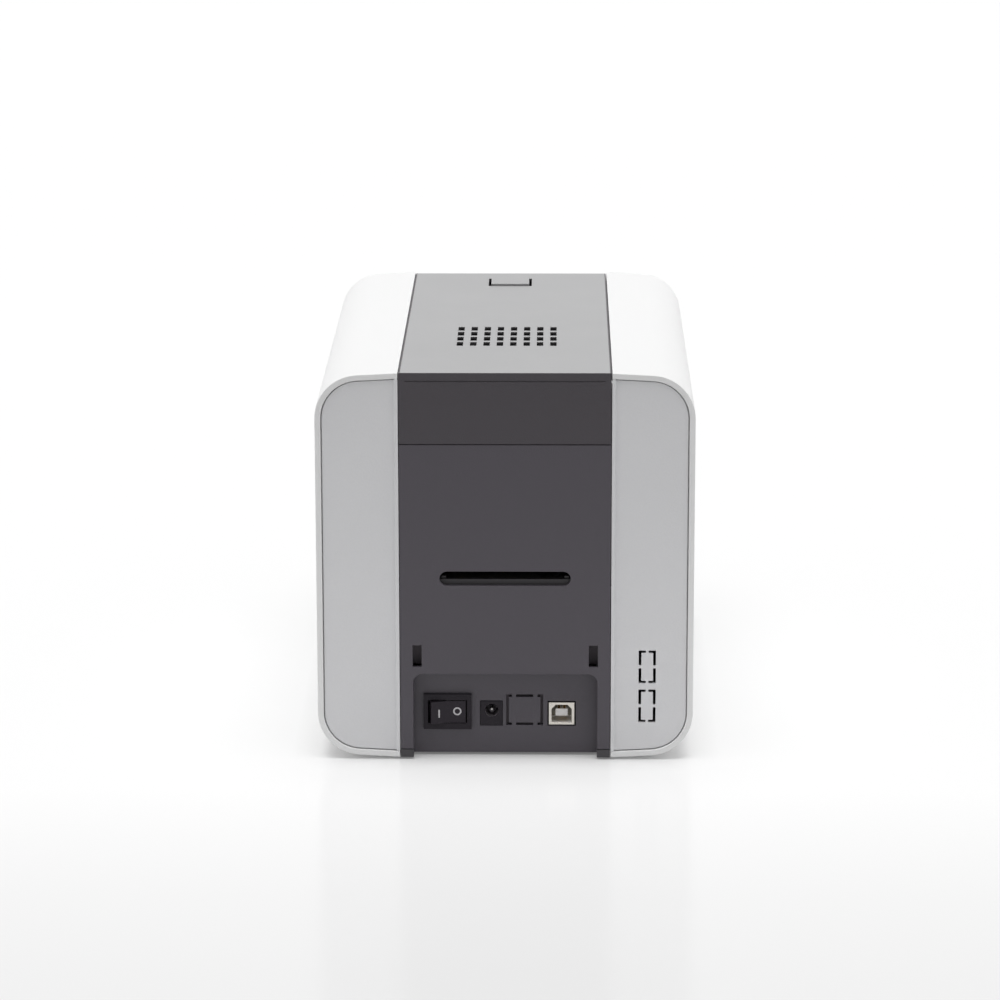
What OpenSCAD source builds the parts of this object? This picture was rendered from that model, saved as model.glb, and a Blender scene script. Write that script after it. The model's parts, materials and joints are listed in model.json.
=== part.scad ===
// Desktop ID card printer with a hinged top cover.
// Rear face towards -Y, hopper end towards +Y, +Z up, floor at Z = 0.
// Left is -X and right is +X, as seen from behind. Depths are measured from the rear face,
// and heights named _z from the underside of the body.

/* [Body] */
// Overall width across both side covers
body_w = 175; // [170:1:200]
// Height of the body without its feet
body_h = 183.7; // [182:0.1:200]
// Depth of the body from its rear face to its front face
body_l = 250; // [248:1:270]
// Radius of the side covers' long corners
corner_r = 20.5; // [14:0.5:24]
// Fall of the side covers' top and bottom edges towards the corners, in degrees
edge_slope = 2.9; // [0:0.1:5]
// Width of the dark centre column
column_w = 97.75; // [97:0.25:106]
// Wall of the side covers
cover_wall = 2.75; // [2:0.05:3.5]
// Wall of the dark mouldings
shell_t = 2.5; // [2:0.1:3]
// Width of the reveal groove round the wing panels
groove = 0.5; // [0.4:0.1:1.2]
// Thickness of the wing panels
panel_t = 2.2; // [1.6:0.1:3]
// Depth of the wing panels behind the rim
panel_recess = 0.8; // [0.4:0.1:1.5]
// Width of the raised lip on each wing panel beside the column
lip_w = 1.7; // [1:0.1:3]
// Height that the rubber feet stand proud
foot_h = 1; // [1:0.5:4]
// Diameter of the rubber feet
foot_d = 14; // [10:1:18]
// Distance of the feet from the front and rear faces
foot_inset = 24; // [20:1:40]

/* [Chassis] */
// Thickness of the chassis plates
plate_t = 2; // [1.5:0.1:3]
// Gap between the centre column and the chassis plates
plate_gap = 0.3; // [0.2:0.05:0.6]
// Thickness of the base tray's floor
base_t = 2.5; // [2:0.1:3.5]
// Height of the base tray's side flanges
flange_h = 10; // [8:1:11]
// Diameter of the tie bars
tie_d = 8; // [6:0.5:9]
// Diameter of the fixing screws' shanks
screw_d = 3; // [2.5:0.5:3.5]

/* [Rear panel] */
// Width of the card slot
slot_w = 60.8; // [58:0.1:64]
// Height of the card slot
slot_h = 6.9; // [6:0.1:8]
// Height of the card slot's centre line, which is the card path
slot_z = 86.4; // [85:0.1:90]
// Width of the raised lip round the slot
slot_lip = 2.1; // [1:0.1:3]
// Height of the raised lip, whose flanks slope gently
lip_rise = 0.2; // [0.1:0.05:0.4]
// Width of the two small sockets
socket_w = 4.2; // [4.1:0.1:5]
// Height of the two small sockets
socket_h = 10.5; // [8:0.5:12]
// Distance of the sockets from the middle
socket_x = 41; // [38:0.5:42]
// Height of the sockets' centres
socket_z = 49; // [48:0.5:58]
// Width of the port bay
bay_w = 85.6; // [84:0.1:87]
// Height of the port bay
bay_h = 40.2; // [39:0.1:42]
// Depth of the port bay
bay_depth = 7; // [5:0.5:9]
// Radius of the bay's upper corners
bay_r = 4.3; // [2:0.1:6]
// Height of the base tray's edge at the foot of the legs
leg_h = 3.7; // [3:0.1:6]
// Gap between the panel's legs and the base
leg_gap = 0.35; // [0.3:0.05:0.6]

/* [Ports] */
// Width of the power switch's bezel
switch_w = 22.4; // [21:0.1:24]
// Height of the power switch's bezel
switch_h = 17; // [16:0.1:18]
// Position of the power switch across the bay
switch_x = -27.1; // [-30:0.1:-25]
// Height of the power switch's centre
switch_z = 20.5; // [20.5:0.1:24]
// Angle between the rocker's two positions
rocker_swing = 20; // [14:1:20]
// Width of the power jack's face
jack_w = 10.15; // [9:0.05:11]
// Height of the power jack's face
jack_h = 11.8; // [11.8:0.1:13]
// Position of the power jack across the bay
jack_x = -6.6; // [-8:0.1:-6]
// Bore of the power jack
jack_bore = 6.3; // [5.5:0.1:6.5]
// Diameter of the power jack's centre pin
jack_pin = 2.1; // [1.6:0.1:2.5]
// Width of the network blank's outline
blank_w = 17.3; // [16:0.1:18]
// Height of the network blank's outline
blank_h = 15; // [14:0.1:16]
// Position of the network blank across the bay
blank_x = 9; // [8.8:0.1:9.6]
// Height of the network blank's centre
blank_z = 21.1; // [21:0.1:24]
// Width of the slots round every blank
blank_slot = 1.25; // [0.8:0.05:1.4]
// Width of the bridges that hold the network blank
blank_bridge = 2; // [1:0.1:2.5]
// Width of the USB port's shell
usb_w = 12; // [12:0.1:12.8]
// Height of the USB port's shell
usb_h = 10.8; // [10.5:0.1:11.5]
// Position of the USB port across the bay
usb_x = 26.3; // [26:0.1:29]
// Width of each blank in the right wing panel
wing_blank_w = 8; // [7:0.1:10]
// Height of each blank in the right wing panel
wing_blank_h = 15.9; // [13:0.1:17]
// Position of the wing blanks across the body
wing_blank_x = 66.1; // [62:0.1:70]
// Height of the lower wing blank's centre
wing_blank_z = 24.9; // [24.6:0.1:36]
// Distance between the two wing blanks' centres
wing_blank_pitch = 18.9; // [18:0.1:24]

/* [Boards] */
// Height of the main board's upper face
board_z = 13.55; // [13.2:0.05:15]
// Length of the main board
board_l = 140; // [136:1:150]
// Width of the main board
board_w = 88; // [84:0.5:89]
// Thickness of both boards
board_t = 1.6; // [1.2:0.1:2]
// Length of the driver board
driver_l = 142; // [136:1:150]
// Height of the driver board
driver_h = 102; // [96:1:110]
// Depth of the driver board's rear edge
driver_y = 54; // [48:1:60]
// Height of the driver board's lower edge
driver_z = 34; // [30:1:40]
// Height of the pillars that carry the driver board
driver_gap = 6; // [4:0.5:8]

/* [Top cover] */
// Height of the top cover, from the seam under it to the top of the body
lid_h = 33.1; // [31:0.1:35]
// Gap at the seam
seam_gap = 0.5; // [0.4:0.1:1]
// Depth of the cover's hinge pins
hinge_y = 10; // [9:0.5:13]
// Distance of the hinge pins below the top of the body
hinge_drop = 7.7; // [7.5:0.1:9]
// Diameter of the hinge pins
hinge_d = 5; // [4:0.5:5.5]
// Thickness of the silver top plate
top_t = 1.5; // [1:0.1:2]
// Margin of the dark shell that shows round the top plate
top_margin = 0.6; // [0.5:0.05:2]
// Width of one vent
vent_w = 3; // [2:0.1:4]
// Length of one vent
vent_l = 9.2; // [5:0.1:9.4]
// Number of vents across the cover
vent_cols = 8; // [4:1:8]
// Number of rows of vents
vent_rows = 4; // [2:1:4]
// Distance between vents across the cover
vent_pitch_x = 6.32; // [5:0.01:7]
// Distance between rows of vents
vent_pitch_y = 11.95; // [11:0.05:13]
// Height of the groove under the top of the cover's rear wall, below the top
strip_h = 3.6; // [3:0.1:5]
// Width of the release button
button_w = 19.2; // [16:0.1:22]
// Length of the release button
button_l = 18.4; // [16:0.1:20]
// Slot round the release button
button_gap = 1.3; // [0.6:0.1:1.6]
// Height that the release button stands proud of the top plate
button_proud = 0.9; // [0.4:0.1:1.2]
// Depth of the release button's near edge
button_y = 213; // [211:0.5:216]
// Travel of the release button
button_travel = 2.5; // [1.5:0.1:3]

/* [Card path] */
// Length of a card
card_l = 85.6; // [80:0.1:88]
// Width of a card
card_w = 54; // [50:0.1:55]
// Thickness of a card
card_t = 0.76; // [0.5:0.01:1]
// Diameter of the driven rollers
roller_d = 14; // [13:0.5:15]
// Diameter of the driven rollers' shafts
shaft_d = 6; // [5:0.5:7]
// Diameter of the pinch rollers
pinch_d = 10; // [8:0.5:11]
// Diameter of the pinch rollers' shafts
pinch_shaft_d = 4; // [3:0.5:5]
// Radial clearance of a shaft that turns in a hole
run_gap = 0.05; // [0.02:0.01:0.1]
// Depth of the rear roller
rear_roller_y = 30; // [28:0.5:32]
// Depth of the platen roller under the print head
platen_y = 84.7; // [82:0.1:86]
// Depth of the front roller
front_roller_y = 166; // [165:0.5:169]
// Depth of the feed roller under the hopper
feed_roller_y = 233; // [232:0.5:234]

/* [Drive] */
// Module of the gears
gear_module = 1; // [0.8:0.05:1]
// Teeth of the platen gear
platen_teeth = 46; // [40:2:46]
// Teeth of the motor pinion
pinion_teeth = 14; // [14:1:16]
// Width of the gears
gear_w = 5; // [4:0.5:6]
// Diameter of the belt pulleys
pulley_d = 14; // [12:0.5:15]
// Width of the drive belt
belt_w = 5; // [4:0.5:6]
// Thickness of the drive belt
belt_t = 1.2; // [0.8:0.1:1.6]
// Side of the square stepper motor
motor_w = 35; // [30:1:36]
// Length of the stepper motor
motor_l = 26; // [20:1:30]

/* [Ribbon] */
// Width of the ribbon film
film_w = 56; // [50:0.5:57]
// Radius of the wound supply roll
supply_r = 15; // [12:0.5:16]
// Radius of the wound take-up roll
take_up_r = 9; // [8:0.5:12]
// Radius of the supply spool's flanges
supply_flange_r = 18; // [17:0.5:18.5]
// Radius of the take-up spool's flanges
take_up_flange_r = 16.5; // [14:0.5:17]
// Depth of the supply spool
supply_y = 45; // [44:0.5:47]
// Depth of the take-up spool
take_up_y = 138; // [137:0.5:140]
// Height of the supply spool above the card path
supply_rise = 33; // [32:0.5:36]
// Height of the take-up spool above the card path
take_up_rise = 23; // [22.5:0.5:25]

/* [Print head] */
// Width of the print head
head_w = 60; // [57:0.5:62]
// Travel of the print head on its springs
head_travel = 3; // [2:0.1:3.5]
// Side of the square cooling fan
fan_w = 40; // [36:1:42]
// Thickness of the cooling fan
fan_t = 10; // [8:0.5:10.5]

/* [Hopper and tray] */
// Distance that the output tray stands out of the front face
tray_out = 95; // [93:1:110]
// Wall of the hopper and the tray
bin_t = 2.5; // [2:0.1:3]
// Height of the output tray's side walls
tray_wall_h = 44; // [30:1:46]
// Radius of the side walls' free corners
tray_corner_r = 16; // [4:1:24]
// Width of the tab that lifts the hopper's cover
lift_tab_w = 22; // [14:1:40]
// Diameter of the front button
front_button_d = 10; // [8:0.5:11]
// Travel of the front button
front_button_travel = 1.2; // [0.8:0.1:1.5]

/* [Hidden] */
$fn = 48;

// Main planes of the body
rear_y = -(body_l + tray_out) / 2;
front_y = rear_y + body_l;
panel_y = rear_y + lip_rise;
half_w = body_w / 2;
half_col = column_w / 2;
floor_z = foot_h;
mid_z = floor_z + body_h / 2;
top_z = floor_z + body_h;
seam = top_z - lid_h;
fit = 0.3;
plate_in = half_col + plate_gap;
plate_out = plate_in + plate_t;
panel_back = panel_recess + panel_t;
panel_seat = 1.5;

// Card path, with the rollers under it and over it
path_z = floor_z + slot_z;
card_low = path_z - card_t / 2;
card_high = path_z + card_t / 2;
roller_z = card_low - roller_d / 2;
pinch_z = card_high + pinch_d / 2;
bed_top = card_low - 0.4;
bed_t = bed_top - roller_z - shaft_d / 2 - fit;
rubber_half = card_w / 2 - 1;

// Port bay
bay_back = rear_y + bay_depth;
bay_top = floor_z + bay_h;
board_top = floor_z + board_z;
board_half = board_w / 2;
board_inset = 3.6;
board_y = bay_back + shell_t + fit;
board_rows = [board_y + 24, board_y + board_l - 5];
jack_z = board_top + jack_h / 2;
jack_rise = 1.35;
jack_shift = 0.2;
usb_z = board_top + 0.4 + usb_h / 2;

// Power switch
switch_proud = 1.8;
switch_body_w = switch_w - 3;
switch_body_h = switch_h - 3.6;
rocker_half = switch_w / 2 - 3;
rocker_h = switch_h - 6.4;
rocker_edge = 2.6;
rocker_dip = 1.2;
rocker_pin_d = 2;
rocker_y = bay_back - switch_proud + 1.2;
switch_cz = floor_z + switch_z;

// Top cover
roof_top = top_z - top_t;
roof_t = 2;
roof_low = roof_top - roof_t;
hinge_z = top_z - hinge_drop;
pivot_y = rear_y + hinge_y;
button_near = rear_y + button_y;
button_far = button_near + button_l;
cup_t = 2;
cap_t = 3;
cup_floor = top_z - cap_t - button_travel - 3.2;
stem_y = button_near + button_l / 2 - 1;
stem_d = 4;
stem_gap = 0.6;
hook_pivot_y = stem_y + 15;
hook_pivot_z = cup_floor - cup_t - 6;
hook_w = 10;
hook_pin_d = 3;
hook_arm = 3;
keeper_y = rear_y + 227;

// Print head
bracket_half = head_w / 2 + 6;
bracket_t = 1.5;
bracket_near = rear_y + platen_y - 22;
bracket_far = rear_y + platen_y + 22;
bracket_low = path_z + 19;
fan_z = roof_low - 3 - fan_t;
deck_z = fan_z - 2;
sink_low = path_z + 28;
sink_top = deck_z - 14;
sink_half = bracket_half - bracket_t - 0.6;
fin_pitch = (sink_half - 3.25) / 4;
guide_pin_d = 4;
guide_pin_z = sink_low + 5;
film_t = 0.2;
film_z = card_high + 0.35;
head_low = film_z + film_t / 2 + fit;

// Ribbon
supply_cy = rear_y + supply_y;
supply_cz = path_z + supply_rise;
take_up_cy = rear_y + take_up_y;
take_up_cz = path_z + take_up_rise;
cassette_in = bracket_half + 2;
cassette_t = 2.5;
spindle_d = 8;
guide_bar_d = 3;
guide_near = rear_y + platen_y - 14.7;
guide_far = rear_y + platen_y + 14.3;
wrap_r = guide_bar_d / 2 + 0.05 + film_t / 2;
guide_z = film_z + wrap_r;
ledge_z = path_z + 12.6;
ledge_w = 5;

// Drive in the left wing
gear_in = plate_out + 2.5;
belt_in = gear_in + gear_w + 2.5;
mesh_angle = -70;
centre_gap = gear_module * (platen_teeth + pinion_teeth) / 2;
pinion_cy = rear_y + platen_y + centre_gap * cos(mesh_angle);
pinion_cz = roller_z + centre_gap * sin(mesh_angle);
pinion_shaft_d = 5;
tooth_play = 0.32;
press_gap = 0.02;

// Hopper, tray and diverter
hopper_in_half = card_w / 2 + 1;
hopper_out_half = hopper_in_half + bin_t;
hopper_back = rear_y + feed_roller_y - 9.5;
hopper_front = hopper_back + card_l + 2.4;
hopper_floor = card_low;
hopper_top = seam - seam_gap - 2.2;
hopper_roof_t = 1.9;
lift_tab_out = 3;
knuckle_d = 5.6;
cover_pin_d = 3;
cover_hinge_y = front_y + 12;
cover_hinge_z = hopper_top - knuckle_d / 2 - 0.4;
hopper_side_top = cover_hinge_z - 1.3;
bridge_end = cover_hinge_y - 5.5;
ear_x = hopper_in_half - 3.5;
tray_floor = floor_z + 8;
tray_top = tray_floor + tray_wall_h;
tray_front = front_y + tray_out;
mouth_low = tray_floor + 46;
mouth_top = mouth_low + 20;
flap_y = rear_y + front_roller_y + 22;
flap_z = path_z + 5;
flap_l = 26;
flap_rod_d = 4;
divert_y = rear_y + front_roller_y + 14;
button_x = (hopper_out_half + half_col) / 2;
front_button_z = path_z + 30;

// Tie bars, and screws of the driver board, as depth and height
tie_places = [[14, 118], [58, 46], [178, 46], [196, 128]];
driver_places = [for (y = [6, driver_l - 6], z = [6, driver_h - 6]) [driver_y + y, driver_z + z]];

// Range about a place: at(c, [a, b]) runs from c + a to c + b, around(c, w) is w wide
function at(c, v) = [c + v[0], c + v[1]];
function around(c, w) = [c - w / 2, c + w / 2];
function edge_z(x, inset) =
    body_h / 2 - (x - half_col) * tan(edge_slope) - inset / cos(edge_slope);

module slab(x, y, z) {
    translate([x[0], y[0], z[0]]) cube([x[1] - x[0], y[1] - y[0], z[1] - z[0]]);
}

module pair() {
    children();
    mirror([1, 0, 0]) children();
}

// Extrudes an outline drawn in X and Z from y0 to y1
module along_y(y0, y1) {
    translate([0, y1, 0]) rotate([90, 0, 0]) linear_extrude(y1 - y0) children();
}

// Extrudes an outline drawn in Y and Z from x0 to x1
module along_x(x0, x1) {
    translate([x0, 0, 0]) rotate([90, 0, 90]) linear_extrude(x1 - x0) children();
}

module rod_x(x0, x1, y, z, d) {
    translate([x0, y, z]) rotate([0, 90, 0]) cylinder(h = x1 - x0, d = d);
}

module rod_y(y0, y1, x, z, d) {
    translate([x, y0, z]) rotate([-90, 0, 0]) cylinder(h = y1 - y0, d = d);
}

// Section of the right wing, drawn inwards by inset, from x_in to the outer wall
module wing_section(inset, x_in) {
    r = corner_r - inset;
    cx = half_w - corner_r;
    cz = edge_z(cx, 0) - corner_r / cos(edge_slope);
    tx = cx + r * sin(edge_slope);
    tz = cz + r * cos(edge_slope);
    translate([0, mid_z]) {
        polygon([[x_in, edge_z(x_in, inset)], [tx, tz], [cx + r, cz],
                 [cx + r, -cz], [tx, -tz], [x_in, -edge_z(x_in, inset)]]);
        for (s = [-1, 1]) translate([cx, s * cz]) intersection() {
            circle(r = r, $fn = 96);
            translate([0, -r]) square([r, 2 * r]);
        }
    }
}

// Stadium w wide and h high in X and Z
module stadium(w, h) {
    square([w - h, h], center = true);
    for (s = [-1, 1]) translate([s * (w - h) / 2, 0]) circle(d = h);
}

// Body

module base_tray() {
    leg_in = bay_w / 2;
    color("dimgray") difference() {
        union() {
            slab([-half_col, half_col], [board_y, front_y - shell_t - fit],
                 [floor_z, floor_z + base_t]);
            pair() {
                slab([half_col - base_t, half_col], [rear_y + shell_t, front_y - shell_t - fit],
                     [floor_z, floor_z + flange_h]);
                slab([leg_in, half_col], [rear_y, rear_y + shell_t], [floor_z, floor_z + leg_h]);
                slab([leg_in + shell_t + fit, half_col], [rear_y + shell_t, board_y + 1],
                     [floor_z, floor_z + leg_h]);
            }
            for (x = [-1, 1] * (board_half - board_inset), y = board_rows)
                translate([x, y, floor_z]) cylinder(h = board_top - board_t - floor_z, d = 7);
        }
        for (x = [-1, 1] * (board_half - board_inset), y = board_rows)
            translate([x, y, floor_z + base_t]) cylinder(h = 40, d = screw_d);
        for (x = [-1, 1] * (half_col - 16), y = [rear_y + foot_inset, front_y - foot_inset])
            translate([x, y, floor_z - 1]) cylinder(h = 2, d = foot_d);
        for (x = [-20:10:20])
            slab([x - 2, x + 2], at(front_y - foot_inset, [-40, -14]),
                 at(floor_z, [-1, base_t + 1]));
    }
}

module rubber_feet() {
    color([0.1, 0.1, 0.1])
        for (x = [-1, 1] * (half_col - 16), y = [rear_y + foot_inset, front_y - foot_inset])
            translate([x, y, 0]) {
                cylinder(h = 1, d1 = foot_d - 2, d2 = foot_d);
                translate([0, 0, 1]) cylinder(h = foot_h, d = foot_d);
            }
}

// Plate at the right of the column; the left one is its mirror image with two more holes
module chassis_plate() {
    reach = edge_z(plate_out, cover_wall);
    difference() {
        union() {
            slab([plate_in, plate_out], [rear_y + panel_back, front_y - panel_back],
                 at(mid_z, [-reach, reach]));
            for (c = [[supply_cy - 18, 30], [take_up_cy - 12, 26]])
                slab([plate_in - ledge_w, plate_in], at(c[0], [0, c[1]]), at(ledge_z, [-3, 0]));
            slab([plate_in - ledge_w, plate_in], at(front_y, [-20, -8]), at(seam - seam_gap, [-4, 0]));
        }
        for (y = [rear_roller_y, platen_y, front_roller_y, feed_roller_y])
            rod_x(plate_in - 1, plate_out + 1, rear_y + y, roller_z, shaft_d + 2 * run_gap);
        for (y = [rear_roller_y, front_roller_y])
            rod_x(plate_in - 1, plate_out + 1, rear_y + y, pinch_z, pinch_shaft_d + 2 * run_gap);
        rod_x(plate_in - 1, plate_out + 1, pivot_y, hinge_z, hinge_d + 2 * press_gap);
        rod_x(plate_in - 1, plate_out + 1, flap_y, flap_z, flap_rod_d + 2 * run_gap);
        for (t = tie_places)
            rod_x(plate_in - 1, plate_out + 1, rear_y + t[0], floor_z + t[1], screw_d);
        slab([plate_in - 1, plate_out + 1], at(rear_y, [100, 150]), at(mid_z, [40, 56]));
    }
}

module chassis_left() {
    color("silver") difference() {
        mirror([1, 0, 0]) chassis_plate();
        rod_x(-plate_out - 1, -plate_in + 1, pinion_cy, pinion_cz, 12);
        rod_x(-plate_out - 1, -plate_in + 1, take_up_cy, take_up_cz, 10);
    }
}

module chassis_right() {
    color("silver") {
        chassis_plate();
        for (p = driver_places)
            rod_x(plate_out, plate_out + driver_gap, rear_y + p[0], floor_z + p[1], 6);
    }
}

module side_cover() {
    color("white") {
        along_y(rear_y, front_y) difference() {
            wing_section(0, plate_in);
            wing_section(cover_wall, plate_in - 1);
        }
        for (y = [rear_y + panel_back, front_y - panel_back - panel_seat])
            along_y(y, y + panel_seat) difference() {
                wing_section(cover_wall - 0.5, plate_out + 0.1);
                wing_section(cover_wall + groove + 2.5, plate_out - 1);
            }
    }
}

module side_cover_right() {
    side_cover();
}

module side_cover_left() {
    mirror([1, 0, 0]) side_cover();
}

// Wing panel at the rear of the right wing
module wing_panel() {
    along_y(rear_y + panel_recess, rear_y + panel_back)
        wing_section(cover_wall + groove, plate_in);
    along_y(rear_y, rear_y + panel_recess) intersection() {
        wing_section(cover_wall + 0.05, plate_in);
        translate([plate_in, floor_z]) square([lip_w, body_h]);
    }
}

module wing_blank() {
    gap = blank_slot;
    difference() {
        square([wing_blank_w, wing_blank_h], center = true);
        square([wing_blank_w, wing_blank_h] - 2 * [blank_slot, blank_slot], center = true);
        square([gap, wing_blank_h + 1], center = true);
        square([wing_blank_w + 1, gap], center = true);
    }
}

module rear_wing_right() {
    color("gainsboro") difference() {
        wing_panel();
        for (k = [0, 1])
            along_y(rear_y - 1, rear_y + panel_back + 1)
                translate([wing_blank_x, floor_z + wing_blank_z + k * wing_blank_pitch])
                    wing_blank();
    }
}

module rear_wing_left() {
    color("gainsboro") mirror([1, 0, 0]) wing_panel();
}

module front_wing_right() {
    color("gainsboro") translate([0, rear_y + front_y, 0]) mirror([0, 1, 0]) wing_panel();
}

module front_wing_left() {
    mirror([1, 0, 0]) front_wing_right();
}

module bay_outline(grow) {
    w = bay_w / 2 + grow;
    r = bay_r + grow;
    h = bay_top + grow;
    translate([-w, floor_z - 1]) square([2 * w, h - r - floor_z + 1]);
    translate([-w + r, floor_z]) square([2 * (w - r), h - floor_z]);
    for (s = [-1, 1]) translate([s * (w - r), h - r]) circle(r = r);
}

module blank_slots() {
    mid = blank_w - 2 * blank_slot;
    seg = (blank_w - 8 - 2 * blank_bridge) / 2;
    translate([blank_x, floor_z + blank_z]) {
        for (s = [-1, 1]) {
            translate([s * (blank_w - blank_slot) / 2, 0])
                square([blank_slot, blank_h], center = true);
            translate([0, s * (blank_h - blank_slot) / 2]) {
                square([8, blank_slot], center = true);
                for (e = [-1, 1])
                    translate([e * (blank_w - seg) / 2, 0]) square([seg, blank_slot], center = true);
            }
        }
    }
}

// Raised lip round the card slot
module slot_rim() {
    mid = (slot_w - slot_h) / 2;
    crest = slot_h / 2 + 0.3;
    foot = slot_h / 2 + slot_lip;
    root = lip_rise + 0.4;
    for (s = [-1, 1]) translate([s * mid, rear_y, path_z]) rotate([-90, 0, 0]) {
        cylinder(h = lip_rise, r1 = crest, r2 = foot);
        translate([0, 0, lip_rise]) cylinder(h = root - lip_rise, r = foot);
    }
    along_x(-mid, mid) translate([rear_y, path_z])
        polygon([[0, -crest], [lip_rise, -foot], [root, -foot],
                 [root, foot], [lip_rise, foot], [0, crest]]);
}

module rear_panel() {
    low = floor_z + leg_h + leg_gap;
    top = seam - seam_gap;
    color([0.3, 0.29, 0.31]) difference() {
        union() {
            difference() {
                along_x(-half_col, half_col)
                    polygon([[panel_y, low], [rear_y + shell_t, low],
                             [rear_y + shell_t, top - shell_t], [panel_y, top - lip_rise]]);
                along_y(rear_y - 1, rear_y + shell_t + 1) bay_outline(0);
            }
            slot_rim();
            difference() {
                along_y(rear_y + shell_t - 0.5, bay_back + shell_t) bay_outline(shell_t);
                along_y(rear_y - 1, bay_back) bay_outline(0);
                slab([-half_col, half_col], [rear_y - 1, board_y], at(floor_z, [-5, 0.3]));
                slab([-half_col, half_col], at(rear_y, [0, shell_t]),
                     at(floor_z, [-1, leg_h + leg_gap]));
            }
        }
        translate([0, 0, path_z]) along_y(rear_y - 1, rear_y + shell_t + 1) stadium(slot_w, slot_h);
        for (x = [-1, 1] * socket_x)
            slab(around(x, socket_w), at(rear_y, [-1, shell_t + 1]),
                 around(floor_z + socket_z, socket_h));
        slab(around(switch_x, switch_body_w + 0.2), at(bay_back, [-1, shell_t + 1]),
             around(switch_cz, switch_body_h + 0.2));
        slab(around(jack_x, jack_w + 0.4), at(bay_back, [-1, shell_t + 1]),
             around(jack_z, jack_h + 0.4));
        slab(around(usb_x, usb_w + 1.2), at(bay_back, [-1, shell_t + 1]),
             around(usb_z, usb_h + 1.2));
        along_y(bay_back - 1, bay_back + shell_t + 1) blank_slots();
    }
}

// Ports

module switch_housing() {
    cavity = rocker_half + 0.9;
    color([0.12, 0.12, 0.13]) difference() {
        union() {
            slab(around(switch_x, switch_w), [bay_back - switch_proud, bay_back],
                 around(switch_cz, switch_h));
            slab(around(switch_x, switch_body_w), [bay_back, bay_back + 14],
                 around(switch_cz, switch_body_h));
            for (x = [-5, 5])
                slab(at(switch_x + x, [-0.4, 0.4]), [bay_back + 14, bay_back + 20],
                     at(switch_cz, [-2.4, 2.4]));
        }
        slab(around(switch_x, 2 * cavity), [bay_back - switch_proud - 1, rocker_y + 6],
             around(switch_cz, rocker_h + 0.6));
        translate([switch_x, rocker_y, switch_cz - switch_body_h / 2 + 0.3])
            cylinder(h = switch_body_h - 0.6, d = rocker_pin_d + 2 * run_gap);
    }
}

module switch_rocker() {
    color([0.14, 0.14, 0.15]) translate([switch_x, rocker_y, switch_cz - rocker_h / 2])
        rotate([0, 0, rocker_swing / 2]) {
            linear_extrude(rocker_h)
                polygon([[-rocker_half, 1.2], [-rocker_half, -rocker_edge], [0, -rocker_dip],
                         [rocker_half, -rocker_edge], [rocker_half, 1.2], [2, 2.6], [-2, 2.6]]);
            translate([0, 0, -0.9]) cylinder(h = rocker_h + 1.8, d = rocker_pin_d);
        }
}

module power_jack() {
    deep = 10;
    face = bay_back - 0.3;
    color([0.15, 0.15, 0.16]) {
        difference() {
            slab(around(jack_x, jack_w), [face, face + 14], around(jack_z, jack_h));
            rod_y(face - 1, face + deep, jack_x + jack_shift, jack_z + jack_rise, jack_bore);
        }
        rod_y(face + 1, face + deep + 0.5, jack_x + jack_shift, jack_z + jack_rise, jack_pin);
    }
}

module usb_port() {
    open_w = 9.4;
    open_h = 8.5;
    cut = 2;
    face = bay_back - 0.3;
    color("lightgray") {
        difference() {
            slab(around(usb_x, usb_w), [face, face + 16], around(usb_z, usb_h));
            translate([usb_x, 0, usb_z]) along_y(face - 1, face + 9)
                polygon([[-open_w / 2, -open_h / 2], [open_w / 2, -open_h / 2],
                         [open_w / 2, open_h / 2 - cut], [open_w / 2 - cut, open_h / 2],
                         [cut - open_w / 2, open_h / 2], [-open_w / 2, open_h / 2 - cut]]);
        }
        slab(at(usb_x, [-2.85, 2.85]), [face + 0.6, face + 10], at(usb_z, [-1.2, 2.2]));
    }
}

module main_board() {
    color("seagreen") difference() {
        slab([-board_half, board_half], [board_y, board_y + board_l], at(board_top, [-board_t, 0]));
        for (x = [-1, 1] * (board_half - board_inset), y = board_rows)
            translate([x, y, board_top - board_t - 1]) cylinder(h = board_t + 2, d = screw_d + 0.4);
    }
}

module board_parts() {
    color([0.2, 0.2, 0.22]) {
        slab([-12, 6], at(board_y, [55, 73]), at(board_top, [0, 2.2]));
        slab([14, 28], at(board_y, [58, 72]), at(board_top, [0, 1.6]));
        slab([-36, -22], at(board_y, [110, 118]), at(board_top, [0, 8]));
        slab([-10, 20], at(board_y, [122, 130]), at(board_top, [0, 8]));
        slab([30, 38], at(board_y, [40, 70]), at(board_top, [0, 9]));
        for (k = [0:2]) translate([-34 + 12 * k, board_y + 34, board_top]) cylinder(h = 12, d = 8);
        for (k = [0:3]) slab(at(-36 + 9 * k, [0, 5]), at(board_y, [88, 93]), at(board_top, [0, 2]));
    }
}

module driver_board() {
    x0 = plate_out + driver_gap;
    y0 = rear_y + driver_y;
    z0 = floor_z + driver_z;
    color("seagreen") {
        difference() {
            slab([x0, x0 + board_t], at(y0, [0, driver_l]), at(z0, [0, driver_h]));
            for (p = driver_places)
                rod_x(x0 - 1, x0 + board_t + 1, rear_y + p[0], floor_z + p[1], screw_d + 0.4);
        }
        slab(at(x0 + board_t, [0, 2]), at(y0, [30, 48]), at(z0, [44, 62]));
        slab(at(x0 + board_t, [0, 8]), at(y0, [66, 96]), at(z0, [8, 16]));
        slab(at(x0 + board_t, [0, 8]), at(y0, [76, 84]), at(z0, [56, 90]));
        for (k = [0:3]) rod_x(x0 + board_t, x0 + board_t + 11, y0 + 20 + 12 * k, z0 + 26, 8);
    }
}

module screw_down(head) {
    translate([0, 0, -6]) cylinder(h = 6.1, d = screw_d - 0.1);
    cylinder(h = head, d = 2 * screw_d);
}

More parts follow.
